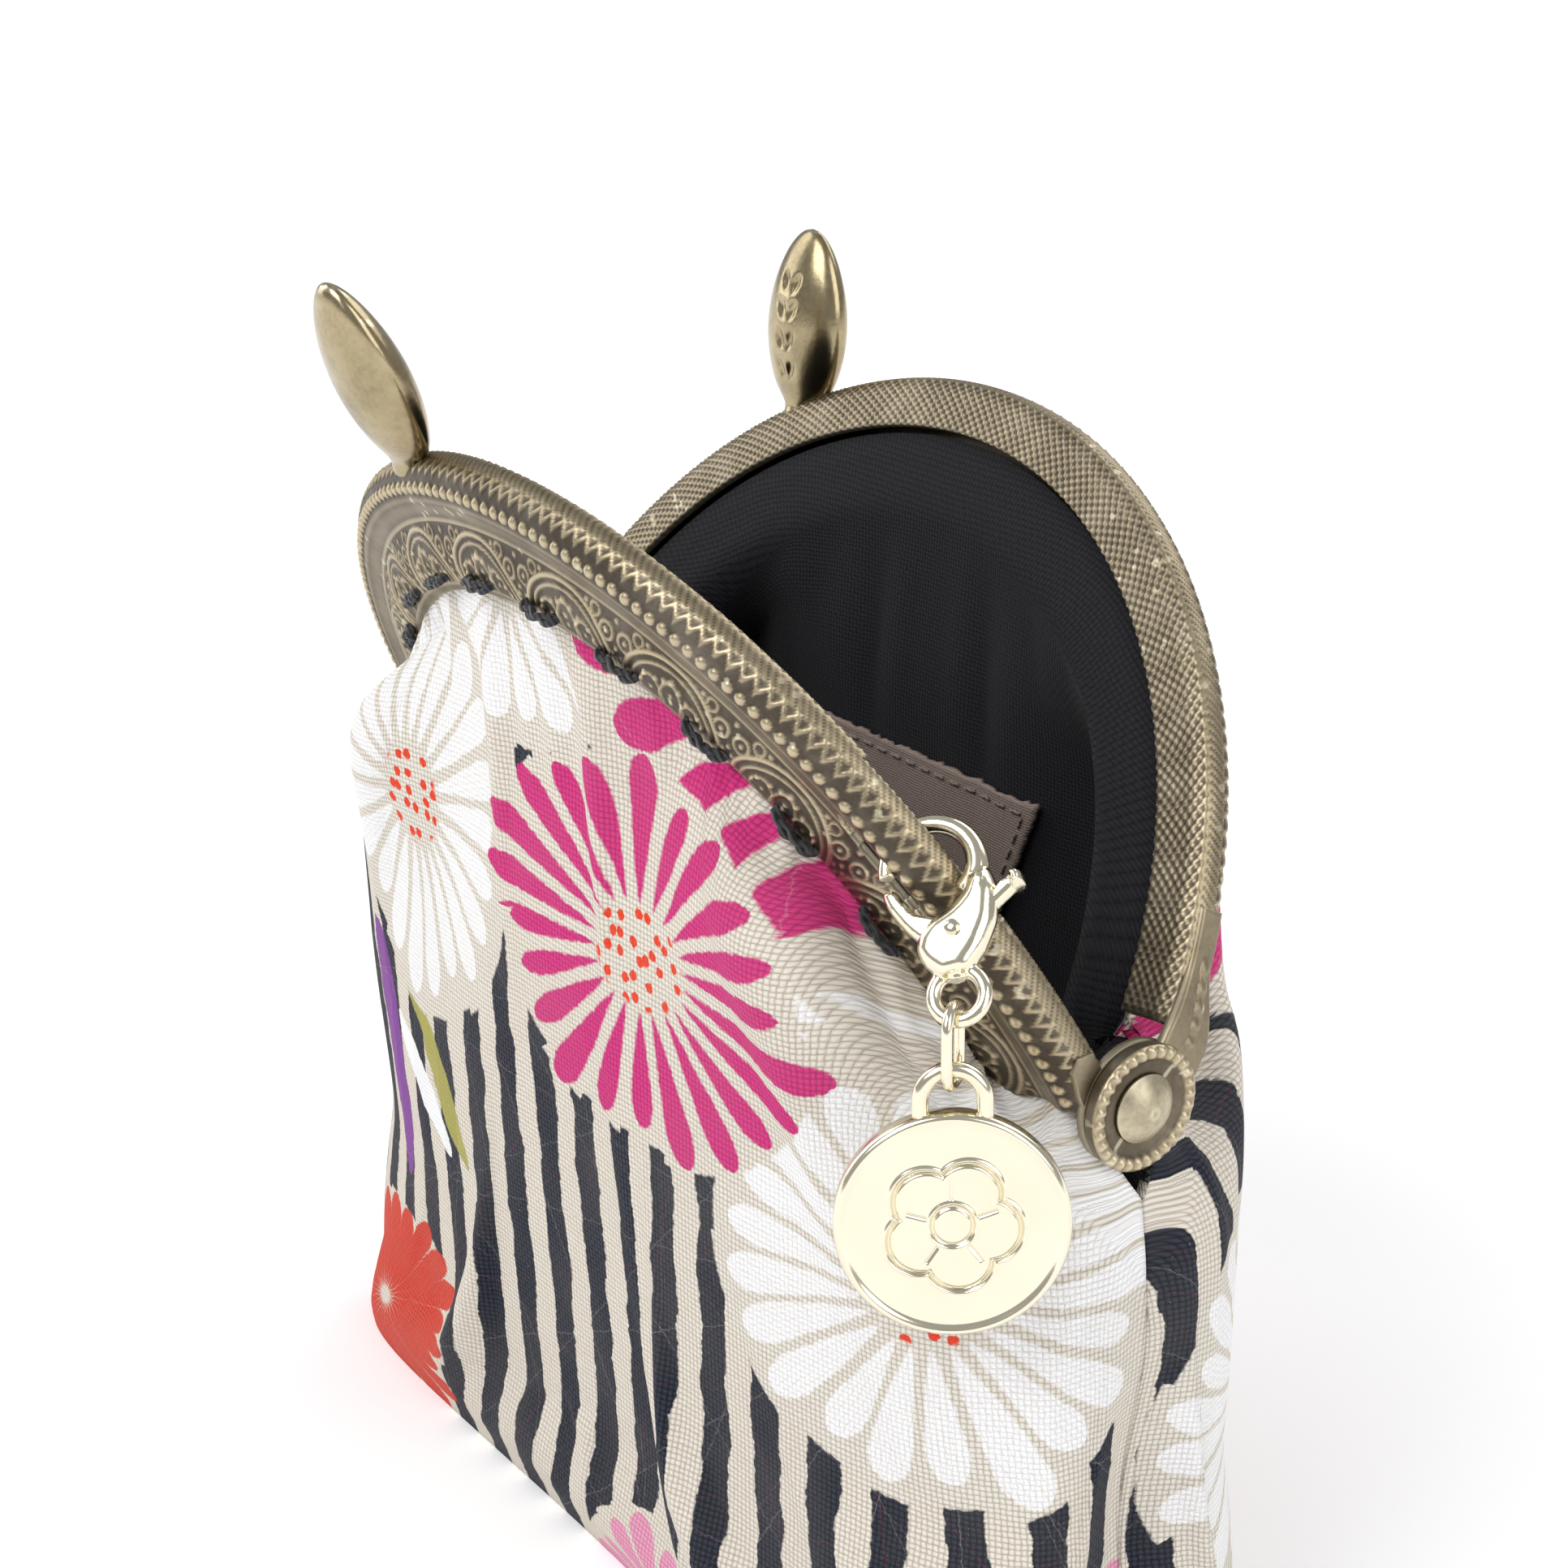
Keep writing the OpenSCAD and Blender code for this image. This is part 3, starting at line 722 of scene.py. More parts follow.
# beads of the lower band: distance along the arch, height or distance from the crest
SCALLOP_BEADS = ((0, 3.0), (-0.85, 2.6), (0.85, 2.6), (-1.7, 2.2), (1.7, 2.2), (0, 1.6),
                 (-2.3, 0.9), (2.3, 0.9), (0, 0.8), (-3.4, 1.0), (3.4, 1.0), (-3.0, 1.8),
                 (3.0, 1.8))
GAP_BEADS = ((0, 8.3), (-0.5, 9.0), (0.5, 9.0), (0, 5.9), (-3.4, 5.85), (3.4, 5.85), (0, 9.7))


def ridge(distance, half_width):
    return np.clip(1 - (distance / half_width) ** 2, 0, 1)


def dome(distance, radius):
    return np.sqrt(ridge(distance, radius))


def scallops(along, down):
    """Scallops with arches and beads inside, and curls and beads in the gaps between."""
    band = (down > 5.2) & (down < 10.2)
    x = along / SCALLOP_PITCH % 1 * SCALLOP_PITCH - SCALLOP_PITCH / 2
    rise = 10.15 - down
    wide, tall = 5.5, 4.4
    size = 0.5 * (wide + tall)
    spread = np.hypot(x / wide, rise / tall)
    height = 0.17 * ridge((spread - 1) * size, 0.26) * band
    height += 0.17 * 0.8 * ridge((spread - 0.84) * size, 0.20) * band
    inside = (spread < 0.80) & band
    for centre, arch_height in ((-2.3, 2.0), (0.0, 2.7), (2.3, 2.0)):
        arch = np.hypot((x - centre) / 1.35, (rise - 0.1) / arch_height)
        height += 0.12 * ridge((arch - 1) * 1.6, 0.19) * inside
    for bead_x, bead_rise in SCALLOP_BEADS:
        height += 0.13 * dome(np.hypot(x - bead_x, rise - bead_rise), 0.27) * inside

    x = (along / SCALLOP_PITCH + 0.5) % 1 * SCALLOP_PITCH - SCALLOP_PITCH / 2
    outside = (spread > 1.05) & band
    for sign in (-1, 1):
        curl = np.hypot(x - sign * 1.05, down - 7.2)
        height += 0.13 * ridge(curl - 0.72, 0.20) * outside
        height += 0.13 * dome(curl, 0.26) * outside
        small_curl = np.hypot(x - sign * 2.4, down - 6.1)
        height += 0.12 * ridge(small_curl - 0.5, 0.17) * outside
    for bead_x, bead_down in GAP_BEADS:
        height += 0.13 * dome(np.hypot(x - bead_x, down - bead_down), 0.27) * outside
    return height


def pressed_pattern(angle, down):
    """Height of the pattern at an angle round the arch and a distance from the crest."""
    along, down = np.broadcast_arrays(angle * PATTERN_R, down)
    # bead row and the step beside it
    bead = (along / BEAD_PITCH) % 1 - 0.5
    height = 0.27 * dome(np.hypot(bead * BEAD_PITCH, down - 2.35), 0.46)
    height += 0.05 * ridge(down - 3.25, 0.28)
    # zigzag and slanted strokes at the crest
    zigzag = np.abs(bead) * 2
    height += 0.13 * ridge(down - (0.25 + 0.95 * zigzag), 0.34) * (down > -0.2) * (down < 1.75)
    stroke = ((along + 0.9 * down) / (BEAD_PITCH / 2)) % 1 - 0.5
    height += 0.10 * ridge(stroke, 0.45) * (down > -0.9) * (down < 0.3)
    height += scallops(along, down)
    # lines above and below the scallops, then the ribbed lower edge
    height += 0.10 * ridge(down - 5.15, 0.22)
    height += 0.10 * ridge(down - 10.3, 0.18)
    rib = np.abs(((along / 0.62) % 1) - 0.5) * 2
    height += 0.08 * ridge(rib, 0.7) * (down > 10.5)
    # diamonds on the inner wall
    rising, falling = (np.abs(((along + slant * down) / 0.95 % 1) - 0.5)
                       for slant in (1.35, -1.35))
    diamond = np.minimum(rising, falling) * 2
    height += np.where(down < -1.15, 0.14 * np.clip(1 - diamond / 0.45, 0, 1), 0)
    height += 0.10 * ridge(down + 1.15, 0.22)
    return height


def frame_arch(name, side, end_angle):
    """The pressed arch; the front one is cut out round the charm's eye."""
    start, end = math.radians(end_angle), math.radians(180 - end_angle)
    steps = 800
    angle = np.linspace(start, end, steps)
    height = pressed_pattern(angle[:, None], FROM_CREST[None, :])
    # fade the pattern out at the ends
    to_end = np.minimum(angle - start, end - angle)[:, None] * PATTERN_R
    height = height * np.clip(to_end / 0.6, 0, 1)
    radius = PROFILE[None, :, 0] + PROFILE_NORMAL[None, :, 0] * height
    out = PROFILE[None, :, 1] + PROFILE_NORMAL[None, :, 1] * height
    inner = PROFILE - PROFILE_NORMAL * SHEET
    inner_radius, inner_out = (np.broadcast_to(inner[None, :, k], radius.shape) for k in (0, 1))
    mask = np.ones((steps - 1, PROFILE_STEPS - 1), bool)
    if side == FRONT:
        # the strip beside the charm's eye bows out a little
        near = bell(np.degrees(angle) - EYE_ANGLE, 5.0)[:, None]
        near = near * (FROM_CREST > 0.2) * (FROM_CREST < 4.0)
        out = out + 0.18 * near * np.clip((4.0 - FROM_CREST) / 2, 0, 1)
        # lens-shaped hole outside, plain gap in the inner wall
        cell_angle = np.degrees((angle[1:] + angle[:-1]) / 2)[:, None]
        cell_radius = ((PROFILE[1:, 0] + PROFILE[:-1, 0]) / 2)[None]
        cell_down = ((FROM_CREST[1:] + FROM_CREST[:-1]) / 2)[None]
        hole = 1.35 * np.sqrt(np.clip(1 - ((cell_angle - EYE_ANGLE) / 7.0) ** 2, 0, 1))
        mask &= ~((cell_down > 3.0) & (np.abs(cell_radius - 39.75) < hole))
        mask &= ~((cell_down < -0.9) & (cell_angle > 22.5) & (cell_angle < 40.5))
    cosine, sine = np.cos(angle)[:, None], np.sin(angle)[:, None]
    outside = on_half(np.stack([radius * cosine, radius * sine, out], -1), side)
    inside = on_half(np.stack([inner_radius * cosine, inner_radius * sine, inner_out], -1), side)
    points, faces = grid_solid(outside, inside, mask)
    polished = 0.30 * (bell(FROM_CREST - 4.2, 0.9) + 0.5 * bell(FROM_CREST + 0.2, 0.8))
    shown = 0.10 + 0.90 * np.clip(height / 0.17, 0, 1) + polished[None, :]
    relief = np.concatenate([shown, np.full(height.shape, 0.25)])
    return add_mesh(name, points, faces, FRAME_BRASS, relief=relief)


def ear(name, radius, start_x, thickness, rim, sign):
    """Round ear on the hinge axis; a rim gives it a raised ring of small dashes."""
    bore = 1.25
    face = start_x + thickness
    outline = [(bore, start_x), (bore, face)]          # radius, x
    if rim:
        outline += [(2.7, face), (3.2, face + 0.03), (3.42, face + 0.16), (3.65, face + 0.36),
                    (3.9, face + 0.42), (4.15, face + 0.38), (radius, face + 0.20),
                    (radius + 0.02, face), (radius, start_x + 0.1), (radius - 0.1, start_x)]
    else:
        outline += [(radius - 0.15, face), (radius, face - 0.1), (radius, start_x + 0.1),
                    (radius - 0.12, start_x)]
    count = len(outline)
    steps = 180 if rim else 72
    points, faces, relief = [], [], []
    for k in range(steps):
        angle = 2 * PI * k / steps
        for r, x in outline:
            on_ring = rim and 3.5 < r < 4.3 and x > face + 0.1
            dash = 0.10 * math.cos(angle * 30) if on_ring else 0.0
            points.append((sign * (x + dash), r * math.cos(angle),
                           HINGE_Z + r * math.sin(angle)))
            relief.append(0.25 + (0.65 if r > 3.6 and x > face else 0.0) + 3 * dash)
        following = (k + 1) % steps
        for j in range(count):
            j2 = (j + 1) % count
            faces.append((k * count + j, k * count + j2,
                          following * count + j2, following * count + j))
    return add_mesh(name, points, faces, FRAME_BRASS, relief=relief)


def side_plate(name, side, outline, start_x, end_x, bevel):
    """Plate with rounded edges between two x, from an outline of (up, out) points."""
    count = len(outline)
    points = [(x, up, out) for x in (start_x, end_x) for up, out in outline]
    faces = [tuple(range(count))[::-1], tuple(range(count, 2 * count))]
    for k in range(count):
        k2 = (k + 1) % count
        faces.append((k, k2, count + k2, count + k))
    plate = add_mesh(name, on_half(points, side), faces, FRAME_BRASS)
    clean(plate)
    modifier = plate.modifiers.new("bevel", "BEVEL")
    modifier.width = bevel * MM
    modifier.segments = 3
    modifier.limit_method = "ANGLE"
    mesh = apply_modifiers(plate)
    add_relief(mesh, np.full(len(mesh.vertices), 0.45))
    return plate


def beaded_strap(name, sign):
    """Strap from the back half's arch down into its outer ear, with a row of five beads."""
    across = 40
    rows = []
    for up in np.linspace(1.0, 13.5, 44):
        arch = ease((up - 3.6) / 6.5)                  # 0 at the ear, 1 on the arch
        face = 43.84 * (1 - arch) + (math.sqrt(FRAME_R ** 2 - up * up) + 0.16) * arch
        low = -0.6 * (1 - arch) + 0.95 * arch
        high = 3.9 * (1 - arch) + 3.05 * arch
        if up < 4.3:
            ear_half = math.sqrt(max(4.36 ** 2 - up * up, 0.0))
            low, high = max(low, -ear_half), min(high, max(ear_half, 3.7))
        out = np.linspace(low, high, across)
        beads = np.zeros(across)
        for k in range(5):
            from_bead = np.hypot(up - (4.9 + 1.2 * k), out - (low + high) / 2 - 0.2)
            beads += 0.26 * dome(from_bead, 0.47)
        edge = np.clip(np.minimum(out - low, high - out) / 0.25, 0, 1) ** 0.5
        x = sign * (face - 0.28 * (1 - edge) + beads)
        rows.append(np.stack([x, np.full(across, up), out], 1))
    outside = np.array(rows)
    inside = outside.copy()
    inside[..., 0] = sign * (np.abs(outside[..., 0]).min(1, keepdims=True) - 0.42)
    points, faces = grid_solid(outside, inside)
    strap = add_mesh(name, on_half(points, BACK), faces, FRAME_BRASS,
                     relief=np.full(len(points), 0.5))
    clean(strap)
    return strap


# (up, out) outlines beside the hinge
FRONT_ARM = [(0.2, 0.7), (0.2, 3.4), (3.6, 3.3), (5.6, 2.9), (6.2, 2.0), (5.6, 0.9)]
BACK_BLOCK = [(5.3, 0.9), (5.3, 3.2), (7.6, 3.2), (7.6, 0.9)]


def build_frames():
    """The front half has the inner pair of ears and the back half the outer pair."""
    front_parts = [frame_arch("front_frame_relief", FRONT, end_angle=2.6)]
    back_parts = [frame_arch("back_frame_relief", BACK, end_angle=7.4)]
    for sign in (1, -1):
        front_parts += [
            ear("front_ear", 4.35, start_x=42.25, thickness=0.68, rim=False, sign=sign),
            side_plate("front_arm", FRONT, FRONT_ARM, sign * 42.3, sign * 42.88, bevel=0.15)]
        back_parts += [
            ear("back_ear", 4.4, start_x=43.12, thickness=0.75, rim=True, sign=sign),
            beaded_strap("back_strap", sign),
            side_plate("back_block", BACK, BACK_BLOCK, sign * 41.3, sign * 42.35, bevel=0.2)]
    finish_piece(join(front_parts), "front_half", "frame_metal", "front_frame")
    finish_piece(join(back_parts), "back_half", "frame_metal", "back_frame")


build_frames()


# ------------------------------------------------------------------ knobs and rivets
def knob(side, x, side_lean, face_lean, length, width):
    """Lens-shaped knob on a short neck, with small hollows pressed into its inward face."""
    thickness = 4.7
    steps = 96
    share = np.linspace(0, 1, steps)[:, None]
    angle = np.linspace(0, 2 * PI, steps, endpoint=False)[None, :]
    up = share * length
    egg = np.sin(PI * share ** 0.93) ** 0.5
    neck = bell(share, 0.07)
    half_width = width / 2 * egg * (1 - neck) + neck * 1.7
    half_thickness = thickness / 2 * egg ** 1.1 * (1 - neck) + neck * 1.45
    sine = np.sin(angle)
    across = half_width * np.cos(angle)
    out = half_thickness * np.sign(sine) * np.abs(sine) ** 1.08
    # two columns of four slanted hollows
    inward = np.clip(-sine, 0, 1)
    hollows = np.zeros_like(across)
    for hollow_share in (0.26, 0.42, 0.58, 0.72):
        for sign in (-1, 1):
            right, above = across - sign * 0.62, up - hollow_share * length
            spread = np.hypot((right * 0.94 - sign * above * 0.34) / 0.52,
                              (above * 0.94 + sign * right * 0.34) / 1.05)
            hollows += 0.30 * np.clip(1 - spread ** 2, 0, 1)
    out = out + hollows * (inward > 0.05) * np.clip(inward * 3, 0, 1)
    # lean sideways, then in or out, and stand on the arch
    cosine, sine = math.cos(side_lean), math.sin(side_lean)
    across, up = across * cosine + up * sine, -across * sine + up * cosine
    cosine, sine = math.cos(face_lean), math.sin(face_lean)
    up, out = up * cosine + out * sine, out * cosine - up * sine
    foot = math.sqrt(FRAME_R ** 2 - x * x) - 0.5
    points = on_half(np.stack([across + x, up + foot, out + 2.0], -1), side)
    index = np.arange(steps * steps).reshape(steps, steps)
    faces = []
    for i in range(steps - 1):
        for j in range(steps):
            j2 = (j + 1) % steps
            faces.append((index[i, j], index[i, j2], index[i + 1, j2], index[i + 1, j]))
    faces += [tuple(index[0, ::-1]), tuple(index[-1])]
    name = SIDE_NAME[side]
    piece = add_mesh(name + "_knob_polished", points, faces, KNOB_BRASS)
    finish_piece(piece, name + "_half", "knob_metal", name + "_knob")


knob(FRONT, x=-12.0, side_lean=math.radians(9), face_lean=math.radians(2),
     length=15.9, width=8.9)
knob(BACK, x=-21.5, side_lean=math.radians(2), face_lean=math.radians(26),
     length=15.3, width=9.2)
for rivet in ("right_rivet", "left_rivet"):
    slots = NODES[rivet].data.materials
    slots.clear()
    slots.append(antique_brass("antique_brass_" + rivet, light=(0.60, 0.53, 0.38),
                               dark=(0.32, 0.28, 0.20), rough=0.30, pressed=False))


# ------------------------------------------------------------------ shape of the cloth body
COLUMNS = 221        # left seam to right seam
ROWS = 97             # frame to bottom edge
ACROSS = np.linspace(-1, 1, COLUMNS)
SEAM_GAP = 0.06                        # half the gap between the halves at the seams


def top_edge():
    """Where the front cloth leaves the frame, and on round the corners to the seams."""
    angle = np.radians(np.linspace(90, 6, 160))
    arc = np.stack([33.4 * np.cos(angle), 33.4 * np.sin(angle), np.full(len(angle), 3.75)], 1)
    low = np.stack([np.linspace(34.0, 40.6, 24), 2.6 - np.linspace(0, 0.6, 24),
                    np.linspace(3.6, 2.2, 24)], 1)
    frame_exit = on_half(np.concatenate([arc, low]), FRONT)
    # round the corner below the hinge, outside the ears
    corner = bezier(np.linspace(0, 1, 14)[1:, None], frame_exit[-1],
                    np.array([42.6, -3.4, HINGE_Z - 1.2]),
                    np.array([44.4, -1.8, HINGE_Z - 4.2]),
                    np.array([45.6, -0.05, HINGE_Z - 6.6]))
    right = resample(np.concatenate([frame_exit, corner]), 400)
    right = smooth_path(right, 15, 3)
    left = (right * np.array([-1, 1, 1]))[::-1]
    return resample(np.concatenate([left[:-1], right]), COLUMNS)


def superellipse(half_width, half_depth, power, shares):
    """Front half of a superellipse, left to right, at shares of its length."""
    angle = np.linspace(0, PI, 900)
    cosine, sine = np.cos(angle), np.sin(angle)
    x = -half_width * np.sign(cosine) * np.abs(cosine) ** (2 / power)
    y = -half_depth * np.abs(sine) ** (2 / power)
    return resample(np.stack([x, y, np.zeros_like(angle)], 1), len(shares), shares)


def pouch_rings(heights):
    """Sections of the front half at the given heights: (height, column, xyz)."""
    # the length is shared so that the frame's ends sit above the corners
    shares = np.interp(np.abs(ACROSS), [0, 0.72, 1.0], [0, 0.735, 1.0])
    shares = 0.5 + 0.5 * np.sign(ACROSS) * shares
    rings = []
    for z in heights:
        swell = np.sin(np.clip(z / 60, 0, 1) * PI) ** 0.8
        ring = superellipse(half_width=44.5 + 2.3 * swell,
                            half_depth=17.3 + 3.0 * np.sin(np.clip(z / 62, 0, 1) * PI / 2),
                            power=8.0 - 4.7 * np.clip(z / 22, 0, 1) ** 0.7, shares=shares)
        ring[:, 2] = z
        # draw in the bottom edge
        draw_in = np.clip(1 - z / 2.2, 0, 1) ** 2
        ring[:, :2] -= ring[:, :2] / np.linalg.norm(ring[:, :2], axis=1)[:, None] * 0.9 * draw_in
        rings.append(ring)
    return np.array(rings)


def rest_surface():
    """Front outer cloth at rest, (column, row, xyz), right seam last, frame row first."""
    top = top_edge()
    heights = np.linspace(0, 56, 57)
    rings = pouch_rings(heights)

    def at_height(z, column):
        return [np.interp(z, heights, rings[:, column, k]) for k in range(3)]

    from_middle = np.abs(ACROSS)
    flank = ease((from_middle - 0.10) / 0.45)
    corner = ease((from_middle - 0.70) / 0.14)
    meet_z = 52.0 - 8.0 * flank - 4.0 * corner         # where the upper curve meets the rings
    plane_out = np.array([0, -math.cos(OPENING), -math.sin(OPENING)])
    surface = np.zeros((COLUMNS, ROWS, 3))
    for i in range(COLUMNS):
        sign = np.sign(ACROSS[i])
        meet = np.array(at_height(meet_z[i], i))
        # direction in which the cloth leaves the frame
        middle_way = unit(np.array([0, -0.10, -1.0]))
        flank_way = unit(plane_out * 0.95 + np.array([sign * 0.38, 0, 0.42]))
        corner_way = unit(np.array([sign * 0.35, -0.55, -0.75]))
        way = middle_way * (1 - flank[i]) + flank_way * flank[i]
        way = way * (1 - corner[i]) + corner_way * corner[i]
        seam = np.clip((from_middle[i] - 0.90) / 0.10, 0, 1)
        way = way * (1 - seam) + np.array([sign * 0.25, 0, -1.0]) * seam
        way = unit(way)
        distance = np.linalg.norm(meet - top[i])
        leave = distance * (0.33 + 0.30 * flank[i] * (1 - corner[i]))
        arrive = distance * (0.35 + 0.16 * flank[i] * (1 - corner[i]))
        upper = bezier(np.linspace(0, 1, 60)[:, None], top[i], top[i] + way * leave,
                       meet + np.array([0, 0, 1.0]) * arrive, meet)
        lower = np.stack(at_height(np.linspace(meet_z[i], 0, 60)[1:], i), 1)
        surface[i] = resample(smooth_path(np.concatenate([upper, lower]), 9, 2), ROWS)
    surface[:, -1, 2] = 0.0
    return surface


def cloth_layout(surface):
    """Cloth millimetres: across from the middle, and height."""
    middle = COLUMNS // 2
    gaps = np.linalg.norm(np.diff(surface[..., :2], axis=0), axis=-1)
    across = np.zeros(surface.shape[:2])
    across[1:] = np.cumsum(gaps, 0)
    across -= across[middle][None, :]
    across += surface[middle, :, 0][None]
    # the upper rows run round the frame, so they keep plain x
    plain = np.clip((surface[..., 2] - 46) / 10, 0, 1)
    across = across * (1 - plain) + surface[..., 0] * plain
    # height runs along the cloth, so the print isn't smeared where it turns outwards
    steps = np.linalg.norm(np.diff(surface, axis=1), axis=-1)
    height = np.zeros(surface.shape[:2])
    height[:, :-1] = np.cumsum(steps[:, ::-1], 1)[:, ::-1]
    return np.stack([across, height * 0.995], -1)


def simulate(surface):
    """Cloth simulation of the closed body, pinned along the frame, the bottom and the top
    of the side seams. Returns the front and back surfaces."""
    scale = 10.0                                       # the solver works on a larger model
    front_columns, rows = surface.shape[:2]
    loop = np.concatenate([surface, (surface * MIRROR_Y)[::-1][1:-1]])
    columns = len(loop)
    index = np.arange(columns * rows).reshape(columns, rows)
    following = np.roll(index, -1, 0)
    faces = np.stack([index[:, :-1], following[:, :-1], following[:, 1:], index[:, 1:]], -1)
    body = add_mesh("cloth_tmp", loop.reshape(-1, 3) * scale, faces.reshape(-1, 4), LINING)
    row = np.arange(columns * rows) % rows
    at_seam = (np.abs(loop.reshape(-1, 3)[:, 1]) < 1.2) & (row < rows * 0.12)
    held = (row <= 1) | (row >= rows - 2) | at_seam
    pin = body.vertex_groups.new(name="pin")
    pin.add(np.nonzero(held)[0].tolist(), 1.0, "REPLACE")

    modifier = body.modifiers.new("cloth", "CLOTH")
    settings = modifier.settings
    settings.quality = 6
    settings.mass = 0.12
    settings.tension_stiffness = 18
    settings.compression_stiffness = 18
    settings.shear_stiffness = 4
    settings.bending_stiffness = 2.5
    settings.vertex_group_mass = "pin"
    settings.shrink_min = -0.012
    settings.use_pressure = True
    settings.uniform_pressure_force = 0.9
    settings.effector_weights.gravity = 0.25
    modifier.collision_settings.use_collision = False
    modifier.point_cache.frame_start = 1
    modifier.point_cache.frame_end = 40
    scene = bpy.context.scene
    for frame_number in range(1, 27):
        scene.frame_set(frame_number)
    evaluated = body.evaluated_get(bpy.context.evaluated_depsgraph_get())
    settled = np.zeros(columns * rows * 3, np.float32)
    evaluated.data.vertices.foreach_get("co", settled)
    move = settled.reshape(columns, rows, 3) / MM / scale - loop
    scene.frame_set(1)
    bpy.data.objects.remove(body, do_unlink=True)

    # the movement is limited, and fades towards the side seams and the bottom
    limit = 1.8
    distance = np.linalg.norm(move, axis=-1, keepdims=True)
    move = move * np.minimum(1, limit / np.maximum(distance, 1e-9))
    from_middle = np.abs(np.concatenate([np.linspace(-1, 1, front_columns),
                                         np.linspace(1, -1, front_columns)[1:-1]]))
    seam_fade = ease((0.97 - from_middle) / 0.14)
    bottom_fade = np.clip((np.arange(rows)[::-1] - 1) / (rows * 0.12), 0, 1)
    loop = loop + move * seam_fade[:, None, None] * bottom_fade[None, :, None]
    back = np.concatenate([loop[front_columns - 1:], loop[:1]])[::-1]
    return loop[:front_columns], back


# place across (-1 to 1), width, height in mm, and reach down the cloth (0 to 1)
CREASES = ((0.70, 0.03, 0.55, 0.35), (0.78, 0.025, -0.6, 0.4), (0.86, 0.03, 0.7, 0.5),
           (-0.72, 0.03, 0.5, 0.35), (-0.82, 0.03, -0.6, 0.45), (0.52, 0.05, 0.25, 0.25),
           (-0.5, 0.05, 0.3, 0.3), (0.2, 0.08, -0.2, 0.3), (-0.15, 0.08, 0.25, 0.35))


def folds(side):
    """Creases below the frame and a soft unevenness, faded at the seams and the bottom."""
    across = ACROSS[:, None]
    down = np.linspace(0, 1, ROWS)[None, :]
    height = np.zeros((COLUMNS, ROWS))
    for k, (place, width, crease, reach) in enumerate(CREASES):
        centre = place - 0.03 * np.sin(down * 5 + k) * side
        height += (crease * bell(across - centre, width) * bell(down, reach)
                   * np.clip(down / 0.04, 0, 1))
    height += (0.25 * np.sin(across * 9 + 1.3) * np.sin(down * 6 + 0.6)
               * np.clip((1 - down) * 3, 0, 1) * np.clip(down * 4, 0, 1))
    return height * (np.clip((0.95 - np.abs(across)) / 0.10, 0, 1)
                     * np.clip((1 - down) / 0.10, 0, 1))


def surface_normals(surface):
    """Unit normals pointing out of the body."""
    normal = np.cross(np.gradient(surface, axis=0), np.gradient(surface, axis=1))
    normal /= np.maximum(np.linalg.norm(normal, axis=-1, keepdims=True), 1e-9)
    middle = (surface.shape[0] // 2, surface.shape[1] // 2)
    outwards = normal[middle] @ (surface[middle] - np.array([0, 0, 30.0])) > 0
    return normal * (1 if outwards else -1)


def tuck(surface):
    """Valley down each side seam, with soft shoulders either side of it."""
    surface = surface.copy()
    depth, z, sign = np.abs(surface[..., 1]), surface[..., 2], np.sign(surface[..., 0])
    at_end = np.clip((np.abs(surface[..., 0]) - 30) / 10, 0, 1)
    lower = bell(z - 22.0, 13.0) * at_end
    surface[..., 0] += sign * lower * (-3.2 * bell(depth, 4.0) + 0.5 * bell(depth - 9.0, 4.0))
    upper = bell(z - 43.0, 7.0) * at_end
    surface[..., 0] += sign * upper * -1.3 * bell(depth, 3.0)
    return surface


def relax(surface, passes):
    """Smooths the surface, keeping its borders."""
    for _ in range(passes):
        smoother = surface.copy()
        smoother[1:-1, 1:-1] = 0.25 * (surface[:-2, 1:-1] + surface[2:, 1:-1]
                                       + surface[1:-1, :-2] + surface[1:-1, 2:])
        surface = smoother
    return surface


def press_in(surface):
    """The medallion rests on the front cloth, which gives a little behind it."""
    x, y, z = np.moveaxis(surface, -1, 0)
    dent = bell(np.sqrt((x - 42.0) ** 2 + (y + 13.5) ** 2 + (z - 50.0) ** 2), 9.0)
    return surface + dent[..., None] * 1.9 * np.array([-0.81, 0.59, 0.0])


def keep_to_side(surface, side):
    surface[..., 1] = side * np.maximum(side * surface[..., 1], SEAM_GAP)


def body_surfaces(rest):
    """The creased outer cloth and the smoother layer inside it, each by side."""
    pair = simulate(rest)
    creased, smooth = {}, {}
    for side, surface in zip((FRONT, BACK), pair):
        normal = surface_normals(surface)
        surface = tuck(surface)
        if side == FRONT:
            surface = press_in(surface)
        smooth[side] = relax(surface, 8)
        surface = surface + normal * folds(side)[..., None]
        keep_to_side(surface, side)
        surface[..., 2] = np.maximum(surface[..., 2], 0)
        creased[side] = surface
    # the halves meet along the side seams
    for layer in (creased, smooth):
        for column in (0, -1):
            seam = 0.5 * (layer[FRONT][column] + layer[BACK][column] * MIRROR_Y)
            layer[FRONT][column], layer[BACK][column] = seam, seam * MIRROR_Y
            for side in (FRONT, BACK):
                layer[side][column, :, 1] = side * SEAM_GAP
    return creased, smooth


REST = rest_surface()
LAYOUT = cloth_layout(REST)
CREASED, SMOOTH = body_surfaces(REST)


# ------------------------------------------------------------------ cloth layers
HEM_RISES = (4.2, 2.8, 1.4)            # hem rows above the row that leaves the frame
HEM_ROWS = len(HEM_RISES)
BOTTOM_SHARES = (0.15, 0.4, 0.7, 1.0)  # rows across the bottom, edge to middle line


